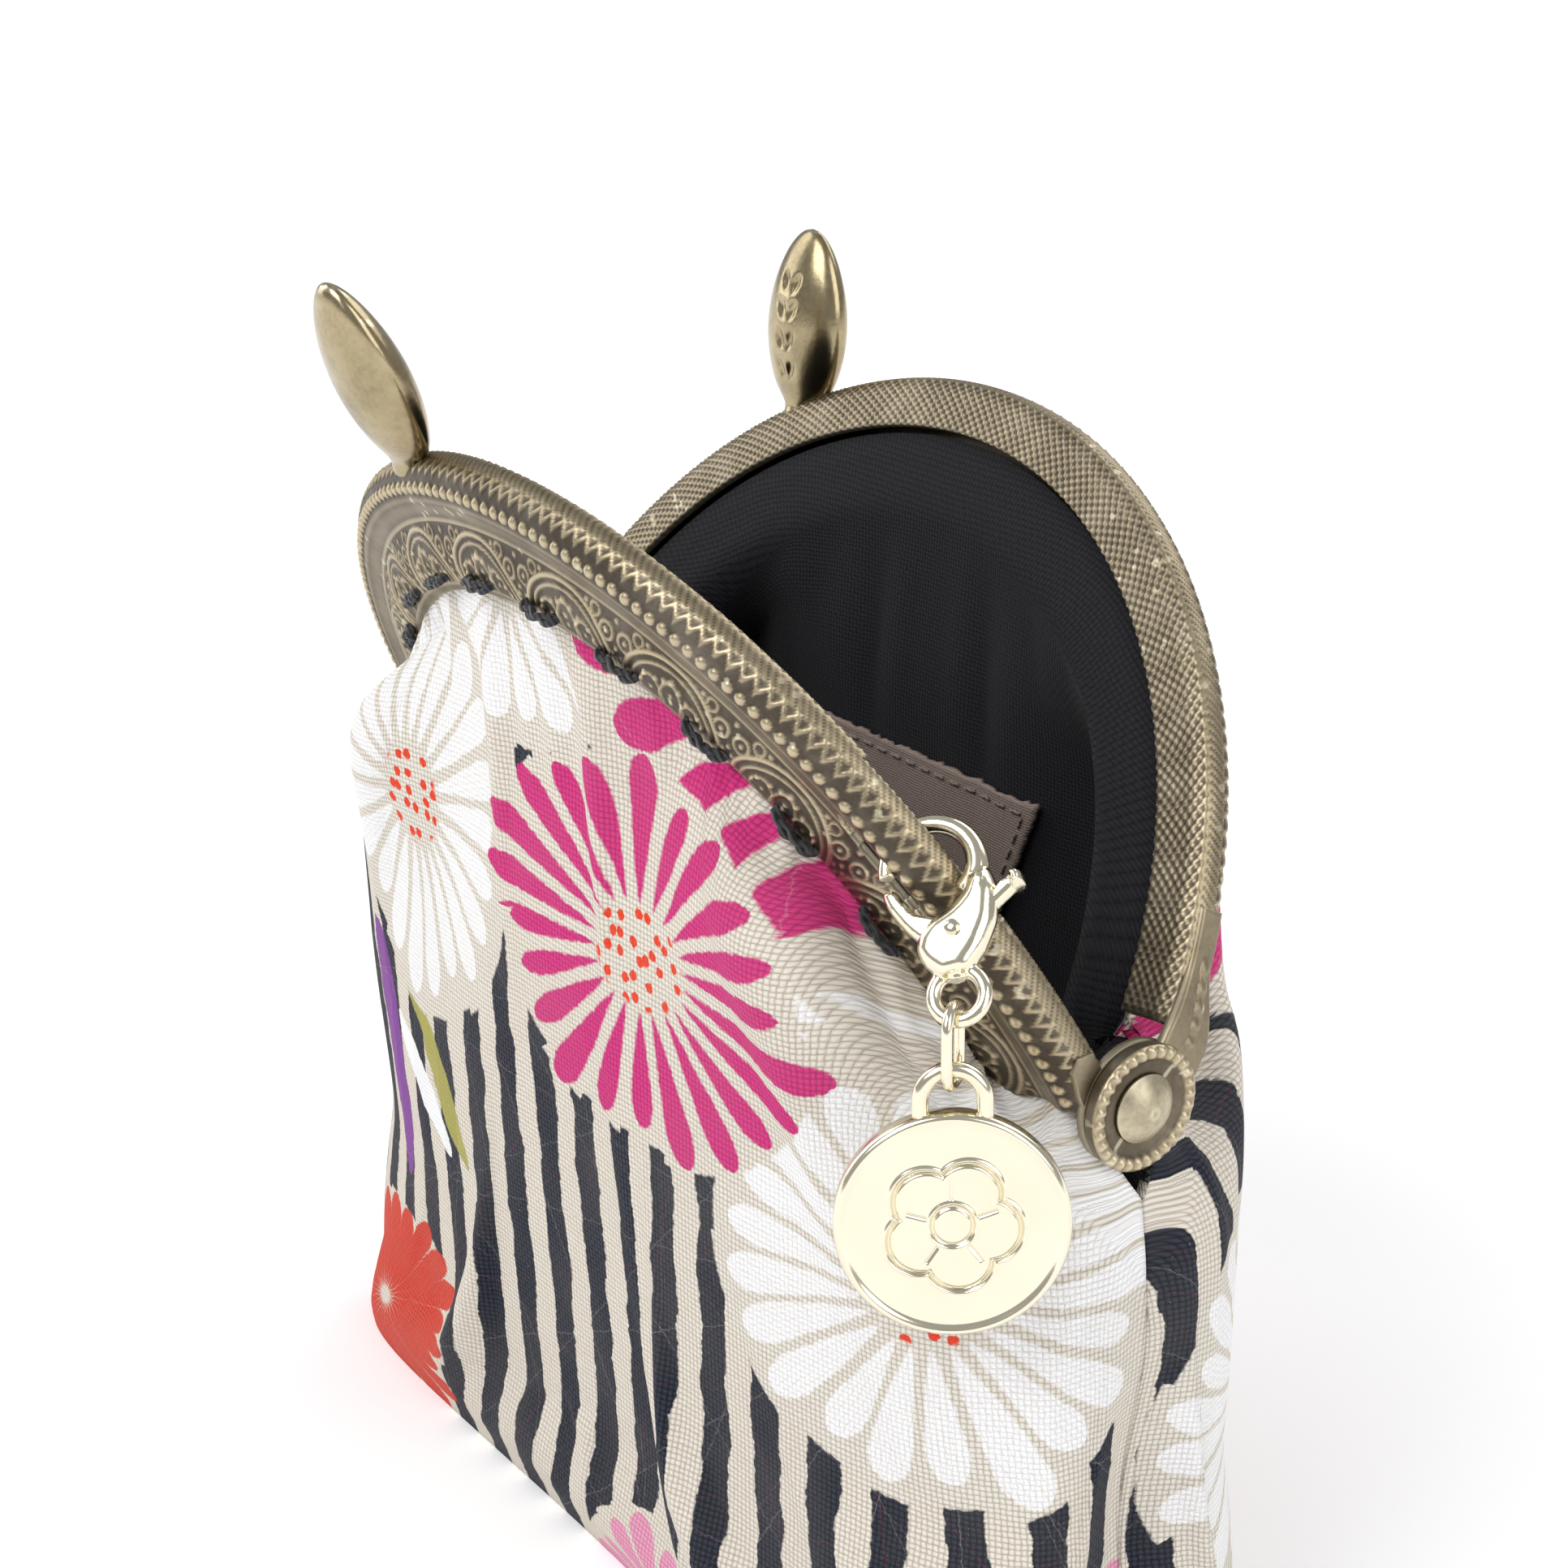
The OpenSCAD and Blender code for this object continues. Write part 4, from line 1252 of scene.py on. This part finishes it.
def with_hem(surface, side):
    """Adds the hem rows, folded up inside the frame's channel."""
    x = surface[:, 0, 0]
    up, out = in_plane(surface[:, 0], side)
    radius = np.hypot(x, up)
    in_channel = np.clip((up - 1.2) / 2.5, 0, 1)       # nothing is folded up below the hinge
    rows = []
    for k, rise in enumerate(HEM_RISES):
        grow = (radius + rise * in_channel) / radius
        row_out = out * (1 - in_channel) + (2.6 + 0.35 * k) * in_channel
        row_up = up * np.where(in_channel > 0, grow, 1)
        rows.append(on_half(np.stack([x * grow, row_up, row_out], -1), side))
    return np.concatenate([np.stack(rows, 1), surface], 1)


def pouch_weights(surface):
    """How much each point follows the pouch (1) rather than its frame half (0)."""
    from_middle = np.abs(np.linspace(-1, 1, surface.shape[0]))[:, None]
    z = surface[..., 2]
    top_z = surface[:, HEM_ROWS, 2][:, None]
    span = np.maximum(top_z - 8.0, 30.0)
    weight = ease((top_z - z) / (span * 0.80))
    below_hinge = np.clip((HINGE_Z - 1.0 - z) / 7.0, 0, 1)
    flank = np.clip((from_middle - 0.74) / 0.16, 0, 1)
    weight = np.maximum(weight, flank * below_hinge)
    return np.maximum(weight, np.clip((from_middle - 0.93) / 0.05, 0, 1))


def blend_with_pouch(piece, slot, body, weights, *nodes):
    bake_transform(piece, body, "pouch", (0, 0, 0.08), (0, 0, 0.02))
    blend = piece.data.attributes["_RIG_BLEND"]
    blend.data.foreach_set("value", weights.astype(np.float32))
    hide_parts(*nodes)


def add_flange(outer, inner, surface, side):
    """Bends the lining's hem rows to the inner wall's edge, closing the channel's mouth."""
    leaving = surface[:, HEM_ROWS]
    x = leaving[:, 0]
    up, _ = in_plane(leaving, side)
    radius = np.hypot(x, up)
    in_channel = np.clip((up - 1.5) / 4.0, 0, 1)[:, None]
    for layer, out in ((outer, 1.60), (inner, 1.15)):
        wall = on_half(np.stack([x / radius * 38.3, up / radius * 38.3,
                                 np.full(len(radius), out)], -1), side)
        for k in range(HEM_ROWS):
            bent = wall + (layer[:, HEM_ROWS] - wall) * (k / HEM_ROWS)
            layer[:, k] = layer[:, k] * (1 - in_channel) + bent * in_channel


def add_bottom(layer, z, side):
    """Adds the rows across the bottom to the middle line."""
    rows = [layer]
    for share in BOTTOM_SHARES:
        row = layer[:, -1].copy()
        row[:, 1] = row[:, 1] * (1 - share) + side * SEAM_GAP * share
        row[:, 0] = row[:, 0] * (1 - 0.004 * share)
        row[:, 2] = z
        rows.append(row[:, None])
    return np.concatenate(rows, 1)


def full_layout():
    """Cloth millimetres of the hem rows, the body and the bottom rows."""
    hem = [LAYOUT[:, :1] + np.array([0, rise]) for rise in HEM_RISES]
    bottom = [LAYOUT[:, -1:] - np.array([0, 18 * share]) for share in BOTTOM_SHARES]
    return np.concatenate(hem + [LAYOUT] + bottom, 1)


def cloth_layer(name, surface, outer_depth, inner_depth, material, side, slot, *nodes):
    """One layer of the body between two depths below the outer surface."""
    surface = with_hem(surface, side)
    normal = surface_normals(surface)
    squeeze = np.ones(surface.shape[:2])               # the hem is pressed thin
    squeeze[:, :HEM_ROWS] = (0.35, 0.5, 0.8)
    outer = surface - normal * (outer_depth * squeeze)[..., None]
    inner = surface - normal * (inner_depth * squeeze)[..., None]
    if slot == "padding":
        # the wadding is thinned towards the frame
        rows = surface.shape[1]
        thin = 0.15 + 0.85 * ease(np.arange(rows) / (0.30 * rows))
        depth = (inner_depth - outer_depth) * squeeze * thin[None, :]
        inner = outer - normal * depth[..., None]
    if slot == "black_lining":
        add_flange(outer, inner, surface, side)
    solid = []
    for layer, depth in ((outer, outer_depth), (inner, inner_depth)):
        layer[..., 2] = np.maximum(layer[..., 2], depth)
        keep_to_side(layer, side)
        solid.append(add_bottom(layer, depth, side))
    points, faces = grid_solid(*solid)
    bottom = np.repeat(surface[:, -1:], len(BOTTOM_SHARES), 1)
    weights = pouch_weights(np.concatenate([surface, bottom], 1))
    weights[:, -6:] = 1.0
    layout = full_layout().reshape(-1, 2)
    piece = add_mesh(name, points, faces, material, cloth=np.concatenate([layout, layout]))
    clean(piece)
    blend_with_pouch(piece, slot, SIDE_NAME[side] + "_half",
                     np.concatenate([weights.ravel(), weights.ravel()]), *nodes)


# name ending, surface, outer and inner depth, materials by side, slot, replaced CAD pieces
LAYERS = (
    ("_canvas", CREASED, 0.0, 0.8, CANVAS, "printed_canvas", ("_panel", "_panel_hem")),
    ("_wadding", SMOOTH, 0.88, 1.75, {FRONT: WADDING, BACK: WADDING}, "padding",
     ("_interlining",)),
    ("_lining_cloth", SMOOTH, 1.85, 2.3, {FRONT: LINING, BACK: LINING}, "black_lining",
     ("_lining",)))
for ending, surfaces, outer_depth, inner_depth, materials, slot, replaced in LAYERS:
    for side in (FRONT, BACK):
        cloth_layer(SIDE_NAME[side] + ending, surfaces[side], outer_depth, inner_depth,
                    materials[side], side, slot,
                    *(SIDE_NAME[side] + node for node in replaced))


# ------------------------------------------------------------------ thread on the frames
def hole_angle(hole):
    return math.radians(90 + (hole - 11.5) * 7.1)


def frame_stitches(side, seed):
    """Twelve stitches of two strands each, from hole to hole along the arch."""
    draw = np.random.default_rng(seed)
    t = np.linspace(0, 1, 26)
    strands = []
    for k in range(12):
        start, end = hole_angle(2 * k), hole_angle(2 * k + 1)
        angle = start + (end - start) * t
        for strand in (-1, 1):
            radius = (34.5 + strand * 0.20 * np.sin(PI * t + 0.2)
                      + 0.12 * draw.normal() * np.sin(PI * t))
            lift = (4.72 + 0.62 * np.sin(PI * t) ** 0.4
                    + 0.18 * np.sin(t * 2 * PI * 2.5 + strand * PI / 2))
            out = np.where((t < 0.06) | (t > 0.94), 3.9, lift)
            path = np.stack([radius * np.cos(angle), radius * np.sin(angle), out], -1)
            strands.append(tube(on_half(path, side), 0.26 + 0.02 * draw.normal(), 10))
    name = SIDE_NAME[side]
    piece = add_mesh(name + "_frame_stitching", *merge(strands), BLACK_THREAD)
    finish_piece(piece, name + "_half", "black_thread", name + "_frame_thread")


frame_stitches(FRONT, seed=3)
frame_stitches(BACK, seed=5)

# ------------------------------------------------------------------ label inside the back lining
LABEL_STEPS = (64, 40)                 # points across and up
LABEL_THICKNESS = 0.42
# corner as (across, up) -> x, z; it leans a little
LABEL_CORNERS = {(-1, 1): (-15.5, 60.4), (1, 1): (14.5, 60.2),
                 (1, -1): (9.0, 46.8), (-1, -1): (-19.5, 47.5)}


def label_point(across, up):
    """x and z at -1 to 1 across and up the label."""
    return [sum(0.25 * (1 + a * across) * (1 + b * up) * corner[k]
                for (a, b), corner in LABEL_CORNERS.items()) for k in (0, 1)]


def nearest(points, x, z, count):
    """The points nearest in x and z, and their squared distances."""
    distance = (points[:, 0] - x) ** 2 + (points[:, 2] - z) ** 2
    closest = np.argpartition(distance, count)[:count]
    return closest, distance[closest]


def label_back():
    """Grids of x, y and z where the label lies against the back lining."""
    across = np.linspace(-1, 1, LABEL_STEPS[0])[:, None]
    x, z = label_point(across, np.linspace(-1, 1, LABEL_STEPS[1])[None, :])
    lining = (SMOOTH[BACK] - surface_normals(SMOOTH[BACK]) * 2.45).reshape(-1, 3)
    y = np.zeros(x.shape)
    for k in np.ndindex(x.shape):
        # argpartition takes the same six points for the weighted mean
        closest, distance = nearest(lining, x[k], z[k], 6)
        weight = 1 / (distance + 0.01)
        y[k] = (lining[closest, 1] * weight).sum() / weight.sum()
    # ripples that grow towards the lower edge
    ripple = 0.18 * np.sin(across * 7) * np.linspace(0, 1, LABEL_STEPS[1])[None, ::-1]
    return x, y - ripple - 0.12, z


def finish_label(piece, slot, node):
    clean(piece)
    body = CREASED[BACK].reshape(-1, 3)
    body_weights = pouch_weights(CREASED[BACK]).reshape(-1)
    places = np.array([vert.co for vert in piece.data.vertices]) / MM
    weights = np.array([body_weights[nearest(body, x, z, 4)[0]].mean() for x, _, z in places])
    blend_with_pouch(piece, slot, "back_half", weights, node)


def label_cloth(x, y, z):
    fray = 0.12 * np.random.default_rng(7).normal(size=x.shape)
    fray[1:-1, 1:-1] = 0
    outside, inside = (np.stack([x + fray, depth, z + fray], -1)
                       for depth in (y - LABEL_THICKNESS, y))
    layout = np.stack([x, z], -1).reshape(-1, 2)
    piece = add_mesh("inside_label_cloth", *grid_solid(outside, inside), LABEL,
                     cloth=np.concatenate([layout, layout]))
    finish_label(piece, "label_cloth", "inside_label")


def label_stitches(y):
    """A line of stitches along each edge."""
    # stitch count, fixed place across or up, length factor
    lines = ((15, None, 0.86), (15, None, -0.86), (8, 0.93, None), (8, -0.93, None))
    stitches = []
    for count, fixed_across, fixed_up in lines:
        for k in range(count):
            start, end = (-0.94 + (1.88 / count) * (k + share) for share in (0.18, 0.78))
            path = []
            for t in np.linspace(start, end, 6):
                across, up = (t, fixed_up) if fixed_across is None else (fixed_across, t * 0.92)
                i = int(round((across + 1) / 2 * (LABEL_STEPS[0] - 1)))
                j = int(round((up + 1) / 2 * (LABEL_STEPS[1] - 1)))
                x, z = label_point(across, up)
                path.append((x, y[i, j] - 0.50, z))
            stitches.append(tube(path, 0.13, 8))
    piece = add_mesh("label_stitching", *merge(stitches), LABEL_THREAD)
    finish_label(piece, "label_thread", "label_thread")


LABEL_X, LABEL_Y, LABEL_Z = label_back()
label_cloth(LABEL_X, LABEL_Y, LABEL_Z)
label_stitches(LABEL_Y)


# ------------------------------------------------------------------ charm: clasp
def turn_x(degrees):
    c, s = math.cos(math.radians(degrees)), math.sin(math.radians(degrees))
    return np.array([[1, 0, 0], [0, c, -s], [0, s, c]])


def turn_y(degrees):
    c, s = math.cos(math.radians(degrees)), math.sin(math.radians(degrees))
    return np.array([[c, 0, s], [0, 1, 0], [-s, 0, c]])


def turn_z(degrees):
    c, s = math.cos(math.radians(degrees)), math.sin(math.radians(degrees))
    return np.array([[c, -s, 0], [s, c, 0], [0, 0, 1]])


# where the hook passes through the front half, and how the clasp is turned there
HOOK_AT = on_half([42.05 * math.cos(math.radians(30)), 42.05 * math.sin(math.radians(30)), 2.6],
                  FRONT)
CLASP_TURN = turn_z(41.71) @ turn_y(-11.77) @ turn_x(48.35) @ turn_z(9)
EYE_X, EYE_Y, EYE_R, EYE_WIRE = 0.2, -8.6, 1.62, 0.5   # ring at the foot of the clasp

# clasp outlines (x, y)
CLASP_BODY = [(2.25, -1.2), (3.6, -1.0), (3.9, -2.6), (3.4, -4.6), (2.4, -6.2), (1.1, -7.5),
              (-0.6, -7.5), (-1.5, -6.5), (-1.9, -5.4), (-1.6, -4.4), (-0.8, -3.6),
              (0.6, -3.1), (1.7, -2.3)]
LEVER = [(-3.5, -0.92), (-2.5, -0.80), (-2.2, -1.6), (-1.5, -2.9), (0.3, -3.6), (1.4, -3.9),
         (3.6, -2.4), (4.7, -1.7), (5.5, -1.9), (5.5, -2.6), (4.7, -3.1), (3.4, -3.9),
         (1.7, -5.2), (0.4, -5.7), (-1.0, -5.5), (-2.3, -3.9), (-3.2, -2.2)]
LEVER_TAB = [(4.7, -1.7), (5.5, -1.75), (5.6, -2.7), (4.8, -3.0)]
# radius, z along the pin
PIN = [(0, -1.62), (0.42, -1.62), (0.5, -1.5), (0.5, 1.5), (0.42, 1.62), (0, 1.62)]


def on_clasp(points):
    return (np.asarray(points, float) + np.array([0.5, 0, 0])) @ CLASP_TURN.T + HOOK_AT


def slab(outline, thickness, layers, inset):
    """Plate with pillowed edges from a smoothed outline."""
    edge = np.array(outline, float)
    edge = resample(np.concatenate([edge, edge[:1]]), 97)[:-1]
    for _ in range(4):
        edge = (np.roll(edge, 1, 0) + 2 * edge + np.roll(edge, -1, 0)) / 4
    tangent = np.roll(edge, -1, 0) - np.roll(edge, 1, 0)
    normal = np.stack([tangent[:, 1], -tangent[:, 0]], 1)
    normal /= np.linalg.norm(normal, axis=1)[:, None]
    following = np.roll(edge, -1, 0)
    if np.sum(edge[:, 0] * following[:, 1] - following[:, 0] * edge[:, 1]) < 0:
        normal = -normal
    points, faces = [], []
    for angle in np.linspace(-PI / 2, PI / 2, layers):
        z, full = math.sin(angle), math.cos(angle)
        points += [(x - out_x * inset * (1 - full), y - out_y * inset * (1 - full),
                    z * thickness / 2) for (x, y), (out_x, out_y) in zip(edge, normal)]
    count = len(edge)
    for layer in range(layers - 1):
        base = layer * count
        for k in range(count):
            k2 = (k + 1) % count
            faces.append((base + k, base + k2, base + count + k2, base + count + k))
    faces.append(tuple(range(count))[::-1])
    faces.append(tuple(range((layers - 1) * count, layers * count)))
    return np.array(points), faces


def cast(name, parts):
    """Melts overlapping clasp parts into one soft skin."""
    points, faces = merge(parts)
    piece = add_mesh(name, on_clasp(points), faces, GOLD)
    clean(piece)
    voxels = piece.modifiers.new("voxels", "REMESH")
    voxels.mode = "VOXEL"
    voxels.voxel_size = 0.10 * MM
    voxels.use_smooth_shade = True
    soften = piece.modifiers.new("soften", "SMOOTH")
    soften.factor = 0.5
    soften.iterations = 6
    mesh = apply_modifiers(piece)
    mesh.materials.clear()
    mesh.materials.append(GOLD)
    return piece


def clasp_body():
    # hook: thicker at the shoulder, tapering to the tip
    angle = np.radians(np.linspace(-52, 180, 70))
    t = np.linspace(0, 1, 70)
    hook = tube(np.stack([2.9 * np.cos(angle), 2.9 * np.sin(angle), 0 * angle], 1),
                0.62 + 0.26 * bell(t, 0.22) - 0.05 * t, 20)
    plate, plate_faces = slab(CLASP_BODY, thickness=2.3, layers=9, inset=0.95)
    plate = plate + np.array([0, 0, 0.13])
    angle = np.linspace(0, 2 * PI, 48, endpoint=False)
    eye = tube(np.stack([EYE_X + EYE_R * np.cos(angle), EYE_Y + EYE_R * np.sin(angle),
                         0 * angle], 1), EYE_WIRE, 16, closed=True)
    neck = tube([[0.25, -7.0, 0], [0.22, -7.5, 0], [0.2, -7.7, 0]], [0.8, 0.62, 0.55], 16)
    piece = cast("clasp_body_cast", [hook, (plate, plate_faces), eye, neck])
    register(piece, "clasp", "charm_metal", "clasp_body", "clasp_spring")


def clasp_lever():
    piece = cast("clasp_lever_cast", [slab(LEVER, thickness=1.5, layers=7, inset=0.5),
                                      slab(LEVER_TAB, thickness=2.4, layers=7, inset=0.4)])
    register(piece, "lever", "charm_metal", "clasp_lever")


def clasp_pin():
    points, faces = lathe(PIN, sides=32)
    piece = add_mesh("clasp_pin_peened", on_clasp(points + np.array([0.8, -4.7, 0])), faces, GOLD)
    finish_piece(piece, "clasp", "charm_metal", "clasp_lever_pin")


clasp_body()
clasp_lever()
clasp_pin()

# ------------------------------------------------------------------ charm: link and medallion
HANG = turn_y(-5) @ turn_x(-3)         # lean of everything below the clasp
CLEARANCE = 0.06
LINK_R, LINK_WIRE, LINK_STRAIGHT = 1.4, 0.38, 2.3
DISC_R, DISC_THICKNESS = 7.4, 1.3
BAIL_R, BAIL_WIRE = 2.0, 0.54


def below(start, distance):
    return start + np.array([0, 0, -distance]) @ HANG.T


# lowest point of the clasp's eye, and on down through link, bail and disc
EYE_AXIS = on_clasp([0, 0, 1]) - on_clasp([0, 0, 0])
EYE_DOWN = unit(np.array([EYE_AXIS[2] * EYE_AXIS[0], EYE_AXIS[2] * EYE_AXIS[1],
                          EYE_AXIS[2] ** 2 - 1]))
LINK_TOP = (on_clasp([EYE_X, EYE_Y, 0]) + EYE_R * EYE_DOWN
            + np.array([0, 0, EYE_WIRE + LINK_WIRE + CLEARANCE]))
LINK_YAW = math.degrees(math.atan2(EYE_AXIS[0], -EYE_AXIS[1])) + 4
LINK_LOW = below(LINK_TOP, 2 * LINK_R + LINK_STRAIGHT)
BAIL_TOP = below(LINK_LOW, -(LINK_WIRE + 0.6 + CLEARANCE))
BAIL_DROP = BAIL_R + 1.2 + math.sqrt(DISC_R ** 2 - BAIL_R ** 2) - 0.3
DISC_CENTRE = below(BAIL_TOP, BAIL_DROP)


def hung(points, centre, yaw):
    return np.asarray(points, float) @ turn_z(yaw).T @ HANG.T + centre


def charm_link():
    top, low = np.linspace(0, PI, 24), np.linspace(PI, 2 * PI, 24)
    angle = np.r_[top, low]
    path = np.stack([LINK_R * np.cos(angle), LINK_R * np.sin(angle)], 1)
    path[24:, 1] -= LINK_STRAIGHT
    path = resample(np.concatenate([path, path[:1]]), 81)[:-1]
    path = np.stack([0 * path[:, 0], path[:, 0], path[:, 1]], 1)
    wire = tube(hung(path, below(LINK_TOP, LINK_R), LINK_YAW), LINK_WIRE - 0.02, 18, closed=True)
    finish_piece(add_mesh("charm_link_wire", *wire, GOLD), "link", "charm_metal", "charm_link")


def disc():
    """Disc in the XZ plane with a raised rim and a five-lobed rosette on its -Y face."""
    rings, steps = ((150, 420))
    radius = np.linspace(0.02, 1, rings)[:, None] * DISC_R
    angle = np.linspace(0, 2 * PI, steps, endpoint=False)[None, :]
    x, z = radius * np.cos(angle), radius * np.sin(angle)
    rim = 0.17 * bell(radius - (DISC_R - 0.38), 0.26)
    rounding = 1 - np.clip((radius - (DISC_R - 0.28)) / 0.28, 0, 1) ** 3 * 0.35
    lobes = 3.3 + 0.95 * np.abs(np.cos(2.5 * angle + 0.3)) ** 0.8
    rosette = -0.20 * bell(radius - lobes, 0.13) + 0.10 * bell(radius - lobes - 0.30, 0.12)
    centre_ring = -0.16 * bell(radius - 1.25, 0.12) + 0.08 * bell(radius - 1.52, 0.10)
    from_spoke = np.abs((angle / (2 * PI) * 5 + 0.3 / PI + 0.12) % 1 - 0.5)
    spokes = -0.12 * bell(from_spoke * radius * 2 * PI / 5, 0.12)
    spokes = spokes * ((radius > 1.7) & (radius < 3.0))
    face = -(DISC_THICKNESS / 2 + (rim + rosette + centre_ring + spokes)) * rounding
    reverse = (DISC_THICKNESS / 2 + rim + 0 * x) * rounding
    points = np.concatenate([np.stack([x, y, z], -1).reshape(-1, 3) for y in (face, reverse)])
    count = rings * steps
    index = np.arange(count).reshape(rings, steps)
    turned = np.roll(index, -1, 1)
    quads = np.stack([index[:-1], index[1:], turned[1:], turned[:-1]], -1).reshape(-1, 4)
    faces = [tuple(quad) for quad in quads] + [tuple(quad[::-1] + count) for quad in quads]
    for this, following in zip(index[-1], turned[-1]):
        faces.append((this, this + count, following + count, following))
    faces += [tuple(index[0]), tuple((index[0] + count)[::-1])]
    return points, faces


def medallion():
    foot, shoulder = DISC_R - 1.0, BAIL_DROP - BAIL_R
    angle = np.linspace(0, PI, 30)
    arch = np.stack([BAIL_R * np.cos(angle), 0 * angle, shoulder + BAIL_R * np.sin(angle)], 1)
    middle = (foot + shoulder) / 2
    path = np.concatenate([[[BAIL_R, 0, foot], [BAIL_R, 0, middle]], arch,
                           [[-BAIL_R, 0, middle], [-BAIL_R, 0, foot]]])
    points, faces = merge([disc(), tube(path, BAIL_WIRE, 18)])
    piece = add_mesh("medallion_pressed", hung(points, DISC_CENTRE, 54), faces, GOLD)
    finish_piece(piece, "charm_disc", "charm_metal", "medallion")


charm_link()
medallion()

# any CAD piece still shown without a material
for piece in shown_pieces():
    if piece.type == "MESH" and not piece.data.materials:
        piece.data.materials.append(KNOB_BRASS)


# ------------------------------------------------------------------ floor, light, camera
def build_floor():
    """White floor that glows more with distance, so its far edge is lost."""
    shader = Shader("studio_floor")
    mottle = shader.noise(shader.position(), scale=3.0, detail=3.0, rough=0.5)
    distance = shader.node("ShaderNodeVectorMath", {0: shader.position()}, output="Value",
                           operation="LENGTH")
    shader.set(Base_Color=shader.mix(mottle, (0.93, 0.93, 0.94), (0.96, 0.96, 0.97)),
               Roughness=0.9, Emission_Color=(1.0, 1.0, 1.0),
               Emission_Strength=distance.step(start=0.15, end=0.9, low=0.16, high=0.60))
    grid = bmesh.new()
    bmesh.ops.create_grid(grid, x_segments=2, y_segments=2, size=3.0)
    mesh = bpy.data.meshes.new("floor")
    grid.to_mesh(mesh)
    grid.free()
    mesh.materials.append(shader.material)
    floor = bpy.data.objects.new("floor", mesh)
    bpy.context.collection.objects.link(floor)


def area_light(name, place, size, power):
    """Rectangular white light aimed at the body."""
    light = bpy.data.lights.new(name, "AREA")
    light.shape = "RECTANGLE"
    light.size, light.size_y = size
    light.energy = power
    light.color = (1, 1, 1)
    lamp = bpy.data.objects.new(name, light)
    bpy.context.collection.objects.link(lamp)
    lamp.location = place
    aim = Vector((0, 0, 0.05)) - Vector(place)
    lamp.rotation_euler = aim.to_track_quat("-Z", "Y").to_euler()


def build_world():
    """White surroundings that the camera sees brighter than they light the scene."""
    ambient, backdrop = 0.40, 0.93
    world = bpy.data.worlds.new("studio")
    bpy.context.scene.world = world
    world.use_nodes = True
    nodes, links = world.node_tree.nodes, world.node_tree.links
    color, strength = nodes["Background"].inputs[:2]
    color.default_value = (1, 1, 1, 1)
    strength.default_value = ambient
    path = nodes.new("ShaderNodeLightPath")
    by_ray = nodes.new("ShaderNodeMapRange")
    links.new(path.outputs["Is Camera Ray"], by_ray.inputs[0])
    by_ray.inputs[3].default_value = ambient
    by_ray.inputs[4].default_value = backdrop
    links.new(by_ray.outputs[0], strength)


def build_camera():
    data = bpy.data.cameras.new("camera")
    camera = bpy.data.objects.new("camera", data)
    bpy.context.collection.objects.link(camera)
    # rows: the camera's right, up and backward directions
    axes = Matrix(((0.5763, 0.81723, -0.00335),
                   (-0.28253, 0.20308, 0.93751),
                   (0.76684, -0.53935, 0.34793)))
    pose = axes.transposed().to_4x4()
    pose.translation = (0.160622, -0.110475, 0.133496)
    camera.matrix_world = pose
    data.sensor_width = 36.0
    data.lens = 62.87
    data.clip_start = 0.005
    data.clip_end = 20
    bpy.context.scene.camera = camera


build_floor()
area_light("key", place=(0.05, -0.55, 0.62), size=(0.5, 0.5), power=3.3)
area_light("fill", place=(0.62, 0.10, 0.42), size=(0.45, 0.6), power=1.8)
area_light("left", place=(-0.55, -0.25, 0.35), size=(0.35, 0.6), power=1.3)
area_light("rear", place=(-0.1, 0.55, 0.5), size=(0.6, 0.4), power=1.4)
build_world()
build_camera()
view = bpy.context.scene.view_settings
view.exposure = 0.0
try:
    view.view_transform = "Standard"
except TypeError:
    pass                               # a build without colour management has no such view
